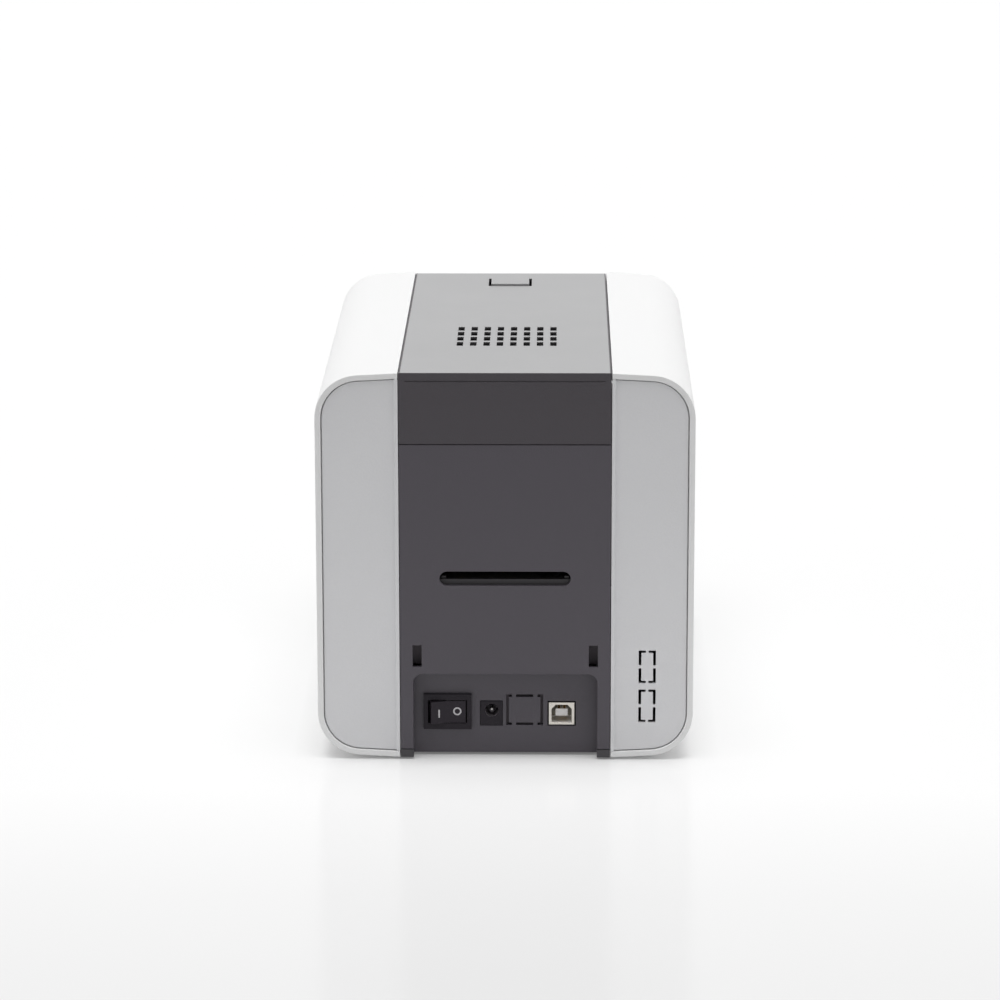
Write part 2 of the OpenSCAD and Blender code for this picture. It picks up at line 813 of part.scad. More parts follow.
module fixing_screws() {
    color("gray") {
        for (x = [-1, 1] * (board_half - board_inset), y = board_rows)
            translate([x, y, board_top]) screw_down(1.8);
        for (t = tie_places) pair()
            translate([plate_out, rear_y + t[0], floor_z + t[1]]) rotate([0, 90, 0]) screw_down(1.8);
        for (p = driver_places)
            translate([plate_out + driver_gap + board_t, rear_y + p[0], floor_z + p[1]])
                rotate([0, 90, 0]) cylinder(h = 1.8, d = 2 * screw_d);
    }
}

module tie_bars() {
    color("lightsteelblue") for (t = tie_places) difference() {
        rod_x(-plate_in, plate_in, rear_y + t[0], floor_z + t[1], tie_d);
        pair() rod_x(plate_in - 8, plate_in + 1, rear_y + t[0], floor_z + t[1], screw_d);
    }
}

// Card path

module card_bed() {
    rail_in = card_w / 2 + 0.5;
    guide_low = mouth_low + 1;
    color([0.25, 0.25, 0.27]) {
        difference() {
            union() {
                slab([-plate_in, plate_in], [rear_y + shell_t, divert_y], at(bed_top, [-bed_t, 0]));
                pair() for (r = [[4, 18], [42, 72], [97, 154]])
                    slab([rail_in, rail_in + 2], at(rear_y, r), [bed_top - 1, card_high]);
            }
            for (y = [rear_roller_y, platen_y, front_roller_y])
                slab([-1, 1] * (rubber_half + 4), around(rear_y + y, 2 * (roller_d / 2 + 1.5)),
                     at(bed_top, [-(bed_t + 1), 5]));
        }
        along_x(-plate_in, plate_in)
            polygon([[divert_y - 2, bed_top - bed_t], [divert_y, bed_top - bed_t],
                     [divert_y, bed_top - bed_t - 2], [front_y - shell_t - 0.1, guide_low],
                     [front_y - shell_t - 0.1, guide_low - 2], [divert_y - 2, bed_top - bed_t - 3]]);
    }
}

// Shaft with a rubber sleeve, from its left end to the right plate
module roller(y, z, sleeve_d, rod_d, left_end) {
    rod_x(-left_end, plate_out + 1.5, rear_y + y, z, rod_d);
    rod_x(-rubber_half, rubber_half, rear_y + y, z, sleeve_d);
}

module rear_roller() {
    color("dimgray") roller(rear_roller_y, roller_z, roller_d, shaft_d, belt_in + belt_w + 3);
}

module platen_roller() {
    color("dimgray") roller(platen_y, roller_z, roller_d, shaft_d, belt_in + belt_w + 3);
}

module front_roller() {
    color("dimgray") roller(front_roller_y, roller_z, roller_d, shaft_d, belt_in + belt_w + 3);
}

module feed_roller() {
    color("dimgray") roller(feed_roller_y, roller_z, roller_d, shaft_d, belt_in + belt_w + 3);
}

module rear_pinch_roller() {
    color("slategray") roller(rear_roller_y, pinch_z, pinch_d, pinch_shaft_d, plate_out + 1.5);
}

module front_pinch_roller() {
    color("slategray") roller(front_roller_y, pinch_z, pinch_d, pinch_shaft_d, plate_out + 1.5);
}

// Flanged pulley that the belt runs on
module pulley(y) {
    difference() {
        union() {
            rod_x(-belt_in - belt_w - 1.5, -belt_in + 1.5, rear_y + y, roller_z, pulley_d);
            for (x = [-belt_in - belt_w - 1.5, -belt_in + 0.3])
                rod_x(x, x + 1.2, rear_y + y, roller_z, pulley_d + 2.4);
        }
        rod_x(-belt_in - belt_w - 2, -belt_in + 2, rear_y + y, roller_z, shaft_d + 2 * press_gap);
    }
}

module rear_pulley() {
    color("goldenrod") pulley(rear_roller_y);
}

module front_pulley() {
    color("goldenrod") pulley(front_roller_y);
}

module feed_pulley() {
    color("goldenrod") pulley(feed_roller_y);
}

// Spur gear outline with straight-sided teeth; one tooth points along +X
module gear_outline(teeth) {
    r = gear_module * teeth / 2;
    tip_r = r + 0.85 * gear_module;
    root_r = r - 1.15 * gear_module;
    half_pitch = gear_module * (PI / 4 - tooth_play / 2);
    half_tip = half_pitch - 0.85 * gear_module * tan(20);
    half_root = half_pitch + 1.15 * gear_module * tan(20);
    polygon([for (k = [0:teeth - 1], q = [[root_r, -half_root], [tip_r, -half_tip],
                                          [tip_r, half_tip], [root_r, half_root]])
        let(a = 360 * k / teeth) [q[0] * cos(a) - q[1] * sin(a), q[0] * sin(a) + q[1] * cos(a)]]);
}

module platen_gear() {
    color("ivory") {
        difference() {
            along_x(-gear_in - gear_w, -gear_in) translate([rear_y + platen_y, roller_z])
                rotate(mesh_angle) gear_outline(platen_teeth);
            rod_x(-gear_in - gear_w - 1, -gear_in + 1, rear_y + platen_y, roller_z,
                  shaft_d + 2 * press_gap);
        }
        difference() {
            rod_x(-belt_in - 1, -gear_in - gear_w, rear_y + platen_y, roller_z, pulley_d);
            rod_x(-belt_in - 2, -gear_in - gear_w + 1, rear_y + platen_y, roller_z,
                  shaft_d + 2 * press_gap);
        }
        pulley(platen_y);
    }
}

module drive_belt() {
    r = pulley_d / 2 + 0.1;
    y0 = rear_y + rear_roller_y;
    y1 = rear_y + feed_roller_y;
    color([0.1, 0.1, 0.1]) along_x(-belt_in - belt_w, -belt_in) difference() {
        union() {
            for (y = [y0, y1]) translate([y, roller_z]) circle(r = r + belt_t);
            translate([y0, roller_z - r - belt_t]) square([y1 - y0, 2 * (r + belt_t)]);
        }
        for (y = [y0, y1]) translate([y, roller_z]) circle(r = r);
        translate([y0, roller_z - r]) square([y1 - y0, 2 * r]);
    }
}

module stepper_motor() {
    x0 = -plate_in + motor_l;
    color("darkgray") difference() {
        union() {
            slab([-plate_in, x0], around(pinion_cy, motor_w), around(pinion_cz, motor_w));
            rod_x(-plate_out - 1, -plate_in, pinion_cy, pinion_cz, 11.8);
        }
        rod_x(-plate_out - 2, x0 - 6, pinion_cy, pinion_cz, pinion_shaft_d + 2 * run_gap);
        for (a = [45:90:315])
            translate([0, pinion_cy, pinion_cz]) rotate([a, 0, 0]) translate([0, 0, motor_w * 0.707])
                cube([200, 6, 6], center = true);
    }
}

module motor_pinion() {
    color("gold") {
        rod_x(-gear_in - gear_w - 1, -plate_in + motor_l - 7, pinion_cy, pinion_cz, pinion_shaft_d);
        along_x(-gear_in - gear_w, -gear_in) translate([pinion_cy, pinion_cz])
            rotate(mesh_angle + 180 + 180 / pinion_teeth) gear_outline(pinion_teeth);
    }
}

// Ribbon

module ribbon_motor() {
    x1 = -plate_out;
    color("darkgray") difference() {
        rod_x(x1 - 24, x1, take_up_cy, take_up_cz, 26);
        rod_x(x1 - 12, x1 + 1, take_up_cy, take_up_cz, 4 + 2 * run_gap);
    }
}

module cassette_side() {
    along_x(cassette_in, cassette_in + cassette_t) difference() {
        union() {
            polygon([[supply_cy - 17, ledge_z], [supply_cy - 17, ledge_z + 10],
                     [supply_cy - 10, supply_cz + 4], [supply_cy + 10, supply_cz + 4],
                     [guide_near, ledge_z + 6], [guide_far, ledge_z + 6],
                     [take_up_cy - 10, take_up_cz + 4], [take_up_cy + 10, take_up_cz + 4],
                     [take_up_cy + 13, ledge_z], [guide_far + 4, ledge_z - 4],
                     [guide_far + 3, guide_z - 2], [guide_near - 3, guide_z - 2],
                     [guide_near - 4, ledge_z - 4]]);
            translate([supply_cy, supply_cz]) circle(r = 10);
            translate([take_up_cy, take_up_cz]) circle(r = 10);
        }
        translate([supply_cy, supply_cz]) circle(d = spindle_d + 2 * run_gap);
        translate([take_up_cy, take_up_cz]) circle(d = spindle_d + 2 * run_gap);
    }
}

module ribbon_cassette() {
    far_bar = take_up_cy + 22.5;
    color("whitesmoke") {
        pair() {
            cassette_side();
            slab([cassette_in + cassette_t, plate_in - fit], at(supply_cy, [-16, 10]),
                 at(ledge_z, [0, 2]));
            slab([cassette_in + cassette_t, plate_in - fit], at(take_up_cy, [-10, 12]),
                 at(ledge_z, [0, 2]));
            slab([cassette_in, cassette_in + cassette_t], [take_up_cy + 6, far_bar + 3],
                 at(ledge_z, [2, 10]));
        }
        rod_x(-cassette_in - 1, cassette_in + 1, guide_near, guide_z, guide_bar_d);
        rod_x(-cassette_in - 1, cassette_in + 1, guide_far, guide_z, guide_bar_d);
        slab([-1, 1] * (cassette_in + 1), at(far_bar, [-2, 2]), at(ledge_z, [2, 10]));
    }
}

module spool(y, z, flange_r, wound_r, left_end) {
    flange_x = film_w / 2 + 1.5;
    rod_x(-left_end, cassette_in + cassette_t + 1, y, z, spindle_d);
    rod_x(-flange_x, flange_x, y, z, 2 * wound_r);
    pair() rod_x(flange_x, flange_x + 1.5, y, z, 2 * flange_r);
}

module supply_spool() {
    color("darkviolet")
        spool(supply_cy, supply_cz, supply_flange_r, supply_r, cassette_in + cassette_t + 1);
}

module take_up_spool() {
    color("darkviolet") {
        spool(take_up_cy, take_up_cz, take_up_flange_r, take_up_r, plate_in + 1);
        rod_x(-plate_out - 11, -plate_in, take_up_cy, take_up_cz, 4);
    }
}

// Strip of film between two points of the path
module film_run(p, q) {
    v = q - p;
    translate(p) rotate(atan2(v[1], v[0])) translate([-0.05, -film_t / 2])
        square([norm(v) + 0.1, film_t]);
}

// Film from under a guide bar to a roll; side is 1 for the supply roll and -1 for the take-up roll
module film_side(bar, roll, r, side) {
    v = roll - bar;
    a = atan2(v[1], v[0]) + side * asin((r - wrap_r) / norm(v));
    out = a + side * 90;
    ends = [270, side > 0 ? out : out + 360];
    film_run(bar + wrap_r * [cos(out), sin(out)], roll + r * [cos(out), sin(out)]);
    for (k = [0:2]) {
        t = [for (i = [k, k + 1]) ends[0] + (ends[1] - ends[0]) * i / 3];
        film_run(bar + wrap_r * [cos(t[0]), sin(t[0])], bar + wrap_r * [cos(t[1]), sin(t[1])]);
    }
}

module ribbon_film() {
    color("indigo") along_x(-film_w / 2, film_w / 2) {
        film_run([guide_near, film_z], [guide_far, film_z]);
        film_side([guide_near, guide_z], [supply_cy, supply_cz], supply_r + fit, 1);
        film_side([guide_far, guide_z], [take_up_cy, take_up_cz], take_up_r + fit, -1);
    }
}

module diverter_flap() {
    color("orange") {
        rod_x(-plate_out - 1, plate_out + 1, flap_y, flap_z, flap_rod_d);
        slab([-1, 1] * (card_w / 2 + 2), [flap_y - 1, flap_y + flap_l], at(flap_z, [-2.6, -0.8]));
        pair() slab([card_w / 2 - 1, card_w / 2 + 2], [flap_y - 2, flap_y + 8], at(flap_z, [-2.6, 3]));
    }
}

// Top cover

module cover_shell() {
    in_x = half_col - shell_t;
    well_x = button_w / 2 + button_gap;
    color([0.27, 0.26, 0.27]) difference() {
        union() {
            difference() {
                along_x(-half_col, half_col)
                    polygon([[rear_y, seam], [rear_y + shell_t, seam - shell_t],
                             [rear_y + shell_t + 1, seam], [front_y, seam], [front_y, top_z - 0.8],
                             [front_y - 5.6, top_z], [rear_y, top_z]]);
                slab([-in_x, in_x], [rear_y + shell_t, front_y - shell_t], [seam - 9, roof_low]);
                pair() slab([in_x, half_col + 1], at(rear_y, [shell_t, shell_t + 2]),
                            [seam - 9, seam]);
                slab([-1, 1] * (half_col - top_margin),
                     [rear_y + top_margin, front_y - top_margin], [roof_top, top_z + 1]);
                slab([-1, 1] * (half_col - 3), [rear_y - 1, rear_y + 0.5],
                     at(top_z - strip_h, [-0.6, 0]));
            }
            pair() rod_x(in_x - 3, half_col, pivot_y, hinge_z, hinge_d + 4);
            slab([-1, 1] * (well_x + cup_t), [button_near - button_gap - cup_t,
                                              button_far + button_gap + cup_t],
                 [cup_floor - cup_t, roof_low]);
            pair() slab([hook_w / 2 + 1, hook_w / 2 + 3], at(hook_pivot_y, [-4, 4]),
                        [hook_pivot_z - 3, roof_low]);
            for (x = [-1, 1] * (bracket_half - 4), y = [bracket_near + 4, bracket_far - 4])
                translate([x, y, deck_z]) cylinder(h = roof_low - deck_z, d = 6);
        }
        pair() rod_x(in_x - 4, half_col + 1, pivot_y, hinge_z, hinge_d + 2 * run_gap);
        slab([-1, 1] * well_x, [button_near - button_gap, button_far + button_gap],
             [cup_floor, top_z + 1]);
        translate([0, stem_y, cup_floor - 30]) cylinder(h = 60, d = stem_d + 0.6);
        slab([-1, 1] * (vent_cols * vent_pitch_x / 2 - 1.5), at(vent_first(), [-5, 5 + vent_span()]),
             [roof_low - 1, roof_top + 1]);
        pair() rod_x(hook_w / 2 - 1, hook_w / 2 + 4, hook_pivot_y, hook_pivot_z,
                     hook_pin_d + 2 * run_gap);
        slab([-30, 30], [front_y - 1, front_y + 1], [seam + 9, seam + 24]);
    }
}

function vent_first() = rear_y + platen_y - vent_pitch_y * (vent_rows - 1) / 2;
function vent_span() = vent_pitch_y * (vent_rows - 1);

module top_plate() {
    side = half_col - top_margin;
    near = rear_y + top_margin;
    far = front_y - top_margin;
    bevel = 5.6;
    color([0.72, 0.72, 0.71]) difference() {
        along_x(-side, side)
            polygon([[near, roof_top], [far, roof_top], [far, top_z - 0.65],
                     [far + top_margin - bevel, top_z], [near, top_z]]);
        for (i = [0:vent_cols - 1], j = [0:vent_rows - 1])
            translate([(i - (vent_cols - 1) / 2) * vent_pitch_x, vent_first() + j * vent_pitch_y, 0])
                slab([-0.5, 0.5] * vent_w, [-0.5, 0.5] * vent_l, [roof_top - 1, top_z + 1]);
        slab([-1, 1] * (button_w / 2 + button_gap),
             [button_near - button_gap, button_far + 0.6], [roof_top - 1, top_z + 1]);
    }
}

module hinge_pins() {
    color("silver") pair()
        rod_x(half_col - shell_t - 3, plate_out + 1, pivot_y, hinge_z, hinge_d);
}

module release_button() {
    color([0.72, 0.72, 0.71]) {
        slab([-0.5, 0.5] * button_w, [button_near, button_far],
             [top_z - cap_t, top_z + button_proud]);
        translate([0, stem_y, hook_pivot_z + hook_arm + stem_gap])
            cylinder(h = top_z - cap_t - hook_pivot_z - hook_arm, d = stem_d);
    }
}

module button_spring() {
    color("silver") translate([0, stem_y, cup_floor]) difference() {
        cylinder(h = top_z - cap_t - cup_floor, d = 12);
        translate([0, 0, -1]) cylinder(h = top_z - cap_t - cup_floor + 2, d = 9.6);
    }
}

// Lever under the button's stem, with its nose just clear of the keeper
module latch_hook() {
    nose_z = seam + 1;
    color("lightgray") {
        along_x(-hook_w / 2, hook_w / 2) {
            translate([hook_pivot_y, hook_pivot_z]) circle(r = hook_arm);
            translate([stem_y - 3, hook_pivot_z]) square([hook_pivot_y - stem_y + 3, hook_arm]);
            translate([hook_pivot_y - 1.5, nose_z]) square([3, hook_pivot_z - nose_z]);
            polygon([[hook_pivot_y + 1.5, nose_z], [keeper_y + fit, nose_z + 2.2],
                     [keeper_y + fit, nose_z + 3], [hook_pivot_y - 1.5, nose_z + 3]]);
        }
        rod_x(-hook_w / 2 - 3, hook_w / 2 + 3, hook_pivot_y, hook_pivot_z, hook_pin_d);
    }
}

module latch_keeper() {
    lip_z = seam + 4.4;
    color("silver") {
        slab([-8, 8], at(hopper_back - bin_t, [-2, 0]), [lip_z - 32, lip_z + 2]);
        slab([-8, 8], [hopper_back - bin_t - 2, keeper_y], [lip_z, lip_z + 2]);
    }
}

module head_bracket() {
    deck_y = [bracket_near, bracket_far];
    slot_d = guide_pin_d + 0.3;
    color("lightslategray") difference() {
        union() {
            slab([-bracket_half, bracket_half], deck_y, at(deck_z, [-2, 0]));
            pair() slab([bracket_half - bracket_t, bracket_half], deck_y, [bracket_low, deck_z - 1]);
        }
        translate([0, rear_y + platen_y, deck_z - 3]) cylinder(h = 4, d = fan_w - 4);
        for (y = at(rear_y + platen_y, [-10, 10])) pair() {
            rod_x(bracket_half - 3, bracket_half + 1, y, guide_pin_z, slot_d);
            rod_x(bracket_half - 3, bracket_half + 1, y, guide_pin_z + head_travel, slot_d);
            slab([bracket_half - 3, bracket_half + 1], around(y, slot_d),
                 at(guide_pin_z, [0, head_travel]));
        }
    }
}

// Aluminium block with fins on top; its pins ride in the bracket's slots
module heat_sink() {
    y0 = rear_y + platen_y - 16;
    color("silver") {
        slab([-sink_half, sink_half], [y0, y0 + 32], at(sink_low, [0, 10]));
        for (k = [0:8])
            slab(at(-sink_half + 2 + k * fin_pitch, [0, 2.5]), [y0, y0 + 32],
                 [sink_low + 9, sink_top]);
        for (y = at(rear_y + platen_y, [-10, 10]))
            rod_x(-bracket_half - 0.5, bracket_half + 0.5, y, guide_pin_z, guide_pin_d);
    }
}

module print_head() {
    mid = rear_y + platen_y;
    color([0.15, 0.13, 0.12]) {
        slab([-0.5, 0.5] * head_w, at(mid, [-8, 8]), [head_low + 6, sink_low]);
        along_x(-head_w / 2 + 1, head_w / 2 - 1)
            polygon([[mid - 7, head_low + 6], [mid - 1.5, head_low], [mid + 1.5, head_low],
                     [mid + 7, head_low + 6]]);
    }
}

module head_springs() {
    h = deck_z - 2 - sink_low - 10;
    color("silver") for (x = [-1, 1] * (sink_half - 3.25 - fin_pitch / 2))
        translate([x, rear_y + platen_y + 13, sink_low + 10]) difference() {
            cylinder(h = h, d = 4.4);
            translate([0, 0, -1]) cylinder(h = h + 2, d = 2.8);
        }
}

module cooling_fan() {
    cy = rear_y + platen_y;
    color([0.12, 0.12, 0.12]) {
        difference() {
            slab([-0.5, 0.5] * fan_w, around(cy, fan_w), [deck_z, fan_z + fan_t]);
            translate([0, cy, deck_z - 1]) cylinder(h = fan_t + 4, d = fan_w - 3);
        }
        difference() {
            union() {
                translate([0, cy, deck_z]) cylinder(h = 1.5, d = 20);
                for (a = [0:120:240])
                    translate([0, cy, deck_z]) rotate(a) slab([0, fan_w / 2 - 0.5], [-1, 1], [0, 1.5]);
            }
            translate([0, cy, deck_z - 1]) cylinder(h = 3, d = 4 + 2 * run_gap);
        }
    }
}

module fan_rotor() {
    cy = rear_y + platen_y;
    z0 = deck_z + 1.5 + fit;
    color([0.18, 0.18, 0.18]) translate([0, cy, 0]) {
        translate([0, 0, deck_z]) cylinder(h = 4, d = 4);
        translate([0, 0, z0]) cylinder(h = fan_t - 2, d = 20);
        for (a = [0:360 / 7:359])
            rotate(a) translate([0, 0, z0 + (fan_t - 2) / 2]) rotate([35, 0, 0])
                slab([9, fan_w / 2 - 2.5], [-3.4, 3.4], [-0.6, 0.6]);
    }
}

module display_window() {
    color([0.05, 0.05, 0.06]) slab([-29.8, 29.8], at(front_y, [-0.95, 0]), at(seam, [9.2, 23.8]));
}

// Front

module front_bezel() {
    low = floor_z + 0.3;
    top = seam - seam_gap;
    half = hopper_out_half + 0.2;
    color([0.3, 0.29, 0.31]) difference() {
        slab([-half_col, half_col], [front_y - shell_t, front_y], [low, top]);
        slab([-half, half], [front_y - shell_t - 1, front_y + 1], [hopper_floor - 2.7, top + 1]);
        slab([-1, 1] * (hopper_in_half - 1), [front_y - shell_t - 1, front_y + 1],
             [mouth_low, mouth_top]);
        rod_y(front_y - shell_t - 1, front_y + 1, button_x, front_button_z, front_button_d + 0.6);
    }
}

module front_button() {
    inner = front_y - shell_t;
    color([0.75, 0.75, 0.75]) {
        rod_y(inner - 1.8, front_y + front_button_travel - 0.2, button_x, front_button_z,
              front_button_d);
        rod_y(inner - 1.8, inner - fit, button_x, front_button_z, front_button_d + 1.6);
    }
}

module card_hopper() {
    low = hopper_floor - 2.5;
    side = [hopper_in_half, hopper_out_half];
    color([0.36, 0.36, 0.38]) difference() {
        union() {
            slab([-hopper_out_half, hopper_out_half], [hopper_back - bin_t, hopper_front],
                 [low, hopper_floor]);
            slab([-hopper_out_half, hopper_out_half], [hopper_back - bin_t, hopper_back],
                 [card_high + 0.6, seam - seam_gap]);
            slab([-hopper_out_half, hopper_out_half], [front_y - shell_t, bridge_end],
                 [hopper_side_top, hopper_top + hopper_roof_t]);
            pair() {
                slab(side, [hopper_back - bin_t, hopper_front], [low, hopper_side_top]);
                slab([hopper_out_half - 1, plate_in], [hopper_back, front_y - shell_t - 0.1],
                     [low, hopper_floor]);
                along_x(ear_x, hopper_in_half) {
                    translate([cover_hinge_y, cover_hinge_z]) circle(d = knuckle_d);
                    translate([cover_hinge_y - knuckle_d / 2, hopper_side_top - 4])
                        square([knuckle_d, cover_hinge_z - hopper_side_top + 4]);
                }
            }
        }
        slab([-1, 1] * (rubber_half + 0.5), around(rear_y + feed_roller_y, roller_d + 1.6),
             [low - 1, hopper_floor + 1]);
        pair() rod_x(ear_x - 1, hopper_in_half + 0.3, cover_hinge_y, cover_hinge_z,
                     cover_pin_d + 2 * run_gap);
    }
}

// Roof, front wall, lifting tab and skirts over the part of the hopper that stands out,
// on two hinge pins
module hopper_cover() {
    x = hopper_out_half;
    knuckle_x = ear_x - fit;
    near = cover_hinge_y - 1;
    far = hopper_front + bin_t + fit;
    color([0.42, 0.42, 0.44]) {
        slab([-x, x], [near, far], at(hopper_top, [0, hopper_roof_t]));
        slab([-x, x], [hopper_front + fit, far], [hopper_floor - 2.5, hopper_top + 1]);
        slab([-knuckle_x, knuckle_x], [near, cover_hinge_y + knuckle_d / 2],
             [cover_hinge_z, hopper_top + 1]);
        rod_x(-knuckle_x, knuckle_x, cover_hinge_y, cover_hinge_z, knuckle_d);
        rod_x(-hopper_in_half + 0.1, hopper_in_half - 0.1, cover_hinge_y, cover_hinge_z, cover_pin_d);
        pair() slab([hopper_in_half + 0.2, x], [cover_hinge_y + 6, far],
                    [hopper_side_top + fit, hopper_top + 1]);
        slab([-lift_tab_w, lift_tab_w] / 2, [far - 1, far + lift_tab_out], at(hopper_floor, [6, 8.5]));
    }
}

module pressure_weight() {
    z = hopper_floor + fit;
    color("slategray") {
        slab([-1, 1] * (hopper_in_half - 0.8), [hopper_back + 1, hopper_front - 1.5], at(z, [0, 3]));
        slab([-16, 16], at(hopper_back, [26, 64]), at(z, [3, 9]));
    }
}

module tray_side() {
    r = tray_corner_r;
    translate([front_y, tray_floor - bin_t]) {
        square([tray_out, bin_t + tray_wall_h - r]);
        square([tray_out - r, bin_t + tray_wall_h]);
    }
    translate([tray_front - r, tray_top - r]) circle(r = r);
}

module output_tray() {
    x = hopper_out_half;
    color([0.36, 0.36, 0.38]) difference() {
        union() {
            slab([-x, x], [front_y, tray_front], at(tray_floor, [-bin_t, 0]));
            pair() along_x(x - bin_t, x) tray_side();
            slab([-x, x], at(tray_front, [-bin_t, 0]), [tray_floor - bin_t, tray_floor + 20]);
            slab([-x, x], at(front_y, [0, bin_t]), [tray_floor - bin_t, tray_top]);
        }
        translate([0, tray_front, tray_floor + 20]) rotate([90, 0, 0])
            translate([0, 0, -1]) cylinder(h = bin_t + 2, r = 12);
    }
}

base_tray();
rubber_feet();
chassis_left();
chassis_right();
side_cover_left();
side_cover_right();
rear_wing_left();
rear_wing_right();
front_wing_left();
front_wing_right();
rear_panel();
switch_housing();
switch_rocker();
power_jack();
usb_port();
main_board();
board_parts();
driver_board();
fixing_screws();
tie_bars();
card_bed();
rear_roller();
platen_roller();
front_roller();
feed_roller();
rear_pinch_roller();
front_pinch_roller();
rear_pulley();
platen_gear();
front_pulley();
feed_pulley();
drive_belt();
stepper_motor();
motor_pinion();
ribbon_motor();
ribbon_cassette();
supply_spool();
take_up_spool();
ribbon_film();
diverter_flap();
cover_shell();
top_plate();
hinge_pins();
release_button();
button_spring();
latch_hook();
latch_keeper();
head_bracket();
heat_sink();
print_head();
head_springs();
cooling_fan();
fan_rotor();
display_window();
front_bezel();
front_button();
card_hopper();
hopper_cover();
pressure_weight();
output_tray();
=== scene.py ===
import json
import math
import bmesh
import bpy
from mathutils import Matrix, Vector

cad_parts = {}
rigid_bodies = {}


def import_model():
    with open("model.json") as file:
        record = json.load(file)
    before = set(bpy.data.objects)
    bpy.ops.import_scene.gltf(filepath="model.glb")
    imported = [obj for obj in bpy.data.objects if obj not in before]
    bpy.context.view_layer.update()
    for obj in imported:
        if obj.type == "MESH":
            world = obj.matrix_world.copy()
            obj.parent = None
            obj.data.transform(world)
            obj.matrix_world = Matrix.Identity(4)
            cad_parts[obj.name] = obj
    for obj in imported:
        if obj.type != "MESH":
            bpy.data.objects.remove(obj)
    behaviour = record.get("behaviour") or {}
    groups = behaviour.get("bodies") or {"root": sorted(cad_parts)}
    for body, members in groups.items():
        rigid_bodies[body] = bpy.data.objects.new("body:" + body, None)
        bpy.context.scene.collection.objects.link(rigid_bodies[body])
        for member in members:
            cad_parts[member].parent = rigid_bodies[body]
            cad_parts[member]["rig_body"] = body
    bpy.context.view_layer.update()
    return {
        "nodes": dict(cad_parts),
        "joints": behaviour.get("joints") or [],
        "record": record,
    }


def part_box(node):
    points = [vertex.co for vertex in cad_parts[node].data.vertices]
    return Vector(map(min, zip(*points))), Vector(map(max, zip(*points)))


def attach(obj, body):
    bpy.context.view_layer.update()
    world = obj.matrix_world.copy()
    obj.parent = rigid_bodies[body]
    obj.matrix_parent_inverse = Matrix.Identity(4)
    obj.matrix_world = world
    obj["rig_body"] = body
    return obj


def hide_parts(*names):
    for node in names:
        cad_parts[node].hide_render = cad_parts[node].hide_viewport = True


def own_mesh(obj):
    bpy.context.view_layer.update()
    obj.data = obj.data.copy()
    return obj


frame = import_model()


# Camera
# It stands where the photograph was taken from: behind the printer, about 1.8 m away and
# a little above it, with a long lens.
camera_place = (0.02355, -1.99271, 0.57442)
camera_down, camera_turn, camera_roll = 13.868, 0.8138, -0.0889
camera = bpy.data.objects.new("camera", bpy.data.cameras.new("camera"))
camera.data.sensor_width = 36
camera.data.lens = 146.5
camera.data.clip_end = 100
camera.matrix_world = (Matrix.Translation(camera_place)
                       @ Matrix.Rotation(math.radians(camera_turn), 4, "Z")
                       @ Matrix.Rotation(math.radians(90 - camera_down), 4, "X")
                       @ Matrix.Rotation(math.radians(camera_roll), 4, "Z"))
bpy.context.scene.collection.objects.link(camera)
bpy.context.scene.camera = camera
bpy.context.scene.view_settings.view_transform = "Standard"


# Studio
# A white surround that lights the printer's sides more than its rear, a large soft lamp over
# it, and a pale floor with a slight gloss that keeps a light shadow.
surround_light = 0.135
side_light = 1.7
side_focus = 4
lamp_power = 2.51
lamp_spread = 46
lamp_lean = -4

world = bpy.data.worlds.new("surround")
bpy.context.scene.world = world
world.use_nodes = True
sky = world.node_tree
nodes, links = sky.nodes, sky.links
nodes.clear()


def reckon(tree, operation, *operands):
    """A math node in a node tree. Each operand is a socket or a number."""
    step = tree.nodes.new("ShaderNodeMath")
    step.operation = operation
    for k, operand in enumerate(operands):
        if isinstance(operand, (int, float)):
            step.inputs[k].default_value = operand
        else:
            tree.links.new(operand, step.inputs[k])
    return step.outputs[0]


path = nodes.new("ShaderNodeLightPath")
seen = reckon(sky, "MAXIMUM", path.outputs["Is Camera Ray"], path.outputs["Is Glossy Ray"])
seen = reckon(sky, "MAXIMUM", seen, path.outputs["Is Transmission Ray"])
facing = nodes.new("ShaderNodeTexCoord")
axes = nodes.new("ShaderNodeSeparateXYZ")
links.new(facing.outputs["Generated"], axes.inputs[0])
sideways = reckon(sky, "POWER", reckon(sky, "ABSOLUTE", axes.outputs["X"]), side_focus)
shed = reckon(sky, "MULTIPLY_ADD", sideways, side_light, surround_light)
surround = nodes.new("ShaderNodeBackground")
links.new(reckon(sky, "MULTIPLY_ADD", shed, reckon(sky, "SUBTRACT", 1, seen), seen),
          surround.inputs["Strength"])
surround.inputs["Color"].default_value = (1, 1, 1, 1)
world_out = nodes.new("ShaderNodeOutputWorld")
links.new(surround.outputs[0], world_out.inputs["Surface"])

lamp = bpy.data.objects.new("softbox", bpy.data.lights.new("softbox", "SUN"))
lamp.data.energy = lamp_power
lamp.data.angle = math.radians(lamp_spread)
lamp.rotation_euler = (math.radians(-lamp_lean), 0, 0)
bpy.context.scene.collection.objects.link(lamp)


def new_object(name, shape):
    """Turns a finished bmesh into an object that sits at the origin."""
    mesh = bpy.data.meshes.new(name)
    shape.to_mesh(mesh)
    shape.free()
    piece = bpy.data.objects.new(name, mesh)
    bpy.context.scene.collection.objects.link(piece)
    return piece


def tone(red, green, blue):
    """A colour as a picture shows it, 0 to 255, as the shader wants it."""
    scene_linear = [(c / 255 / 12.92) if c / 255 <= 0.04045 else ((c / 255 + 0.055) / 1.055) ** 2.4
                    for c in (red, green, blue)]
    return (*scene_linear, 1)


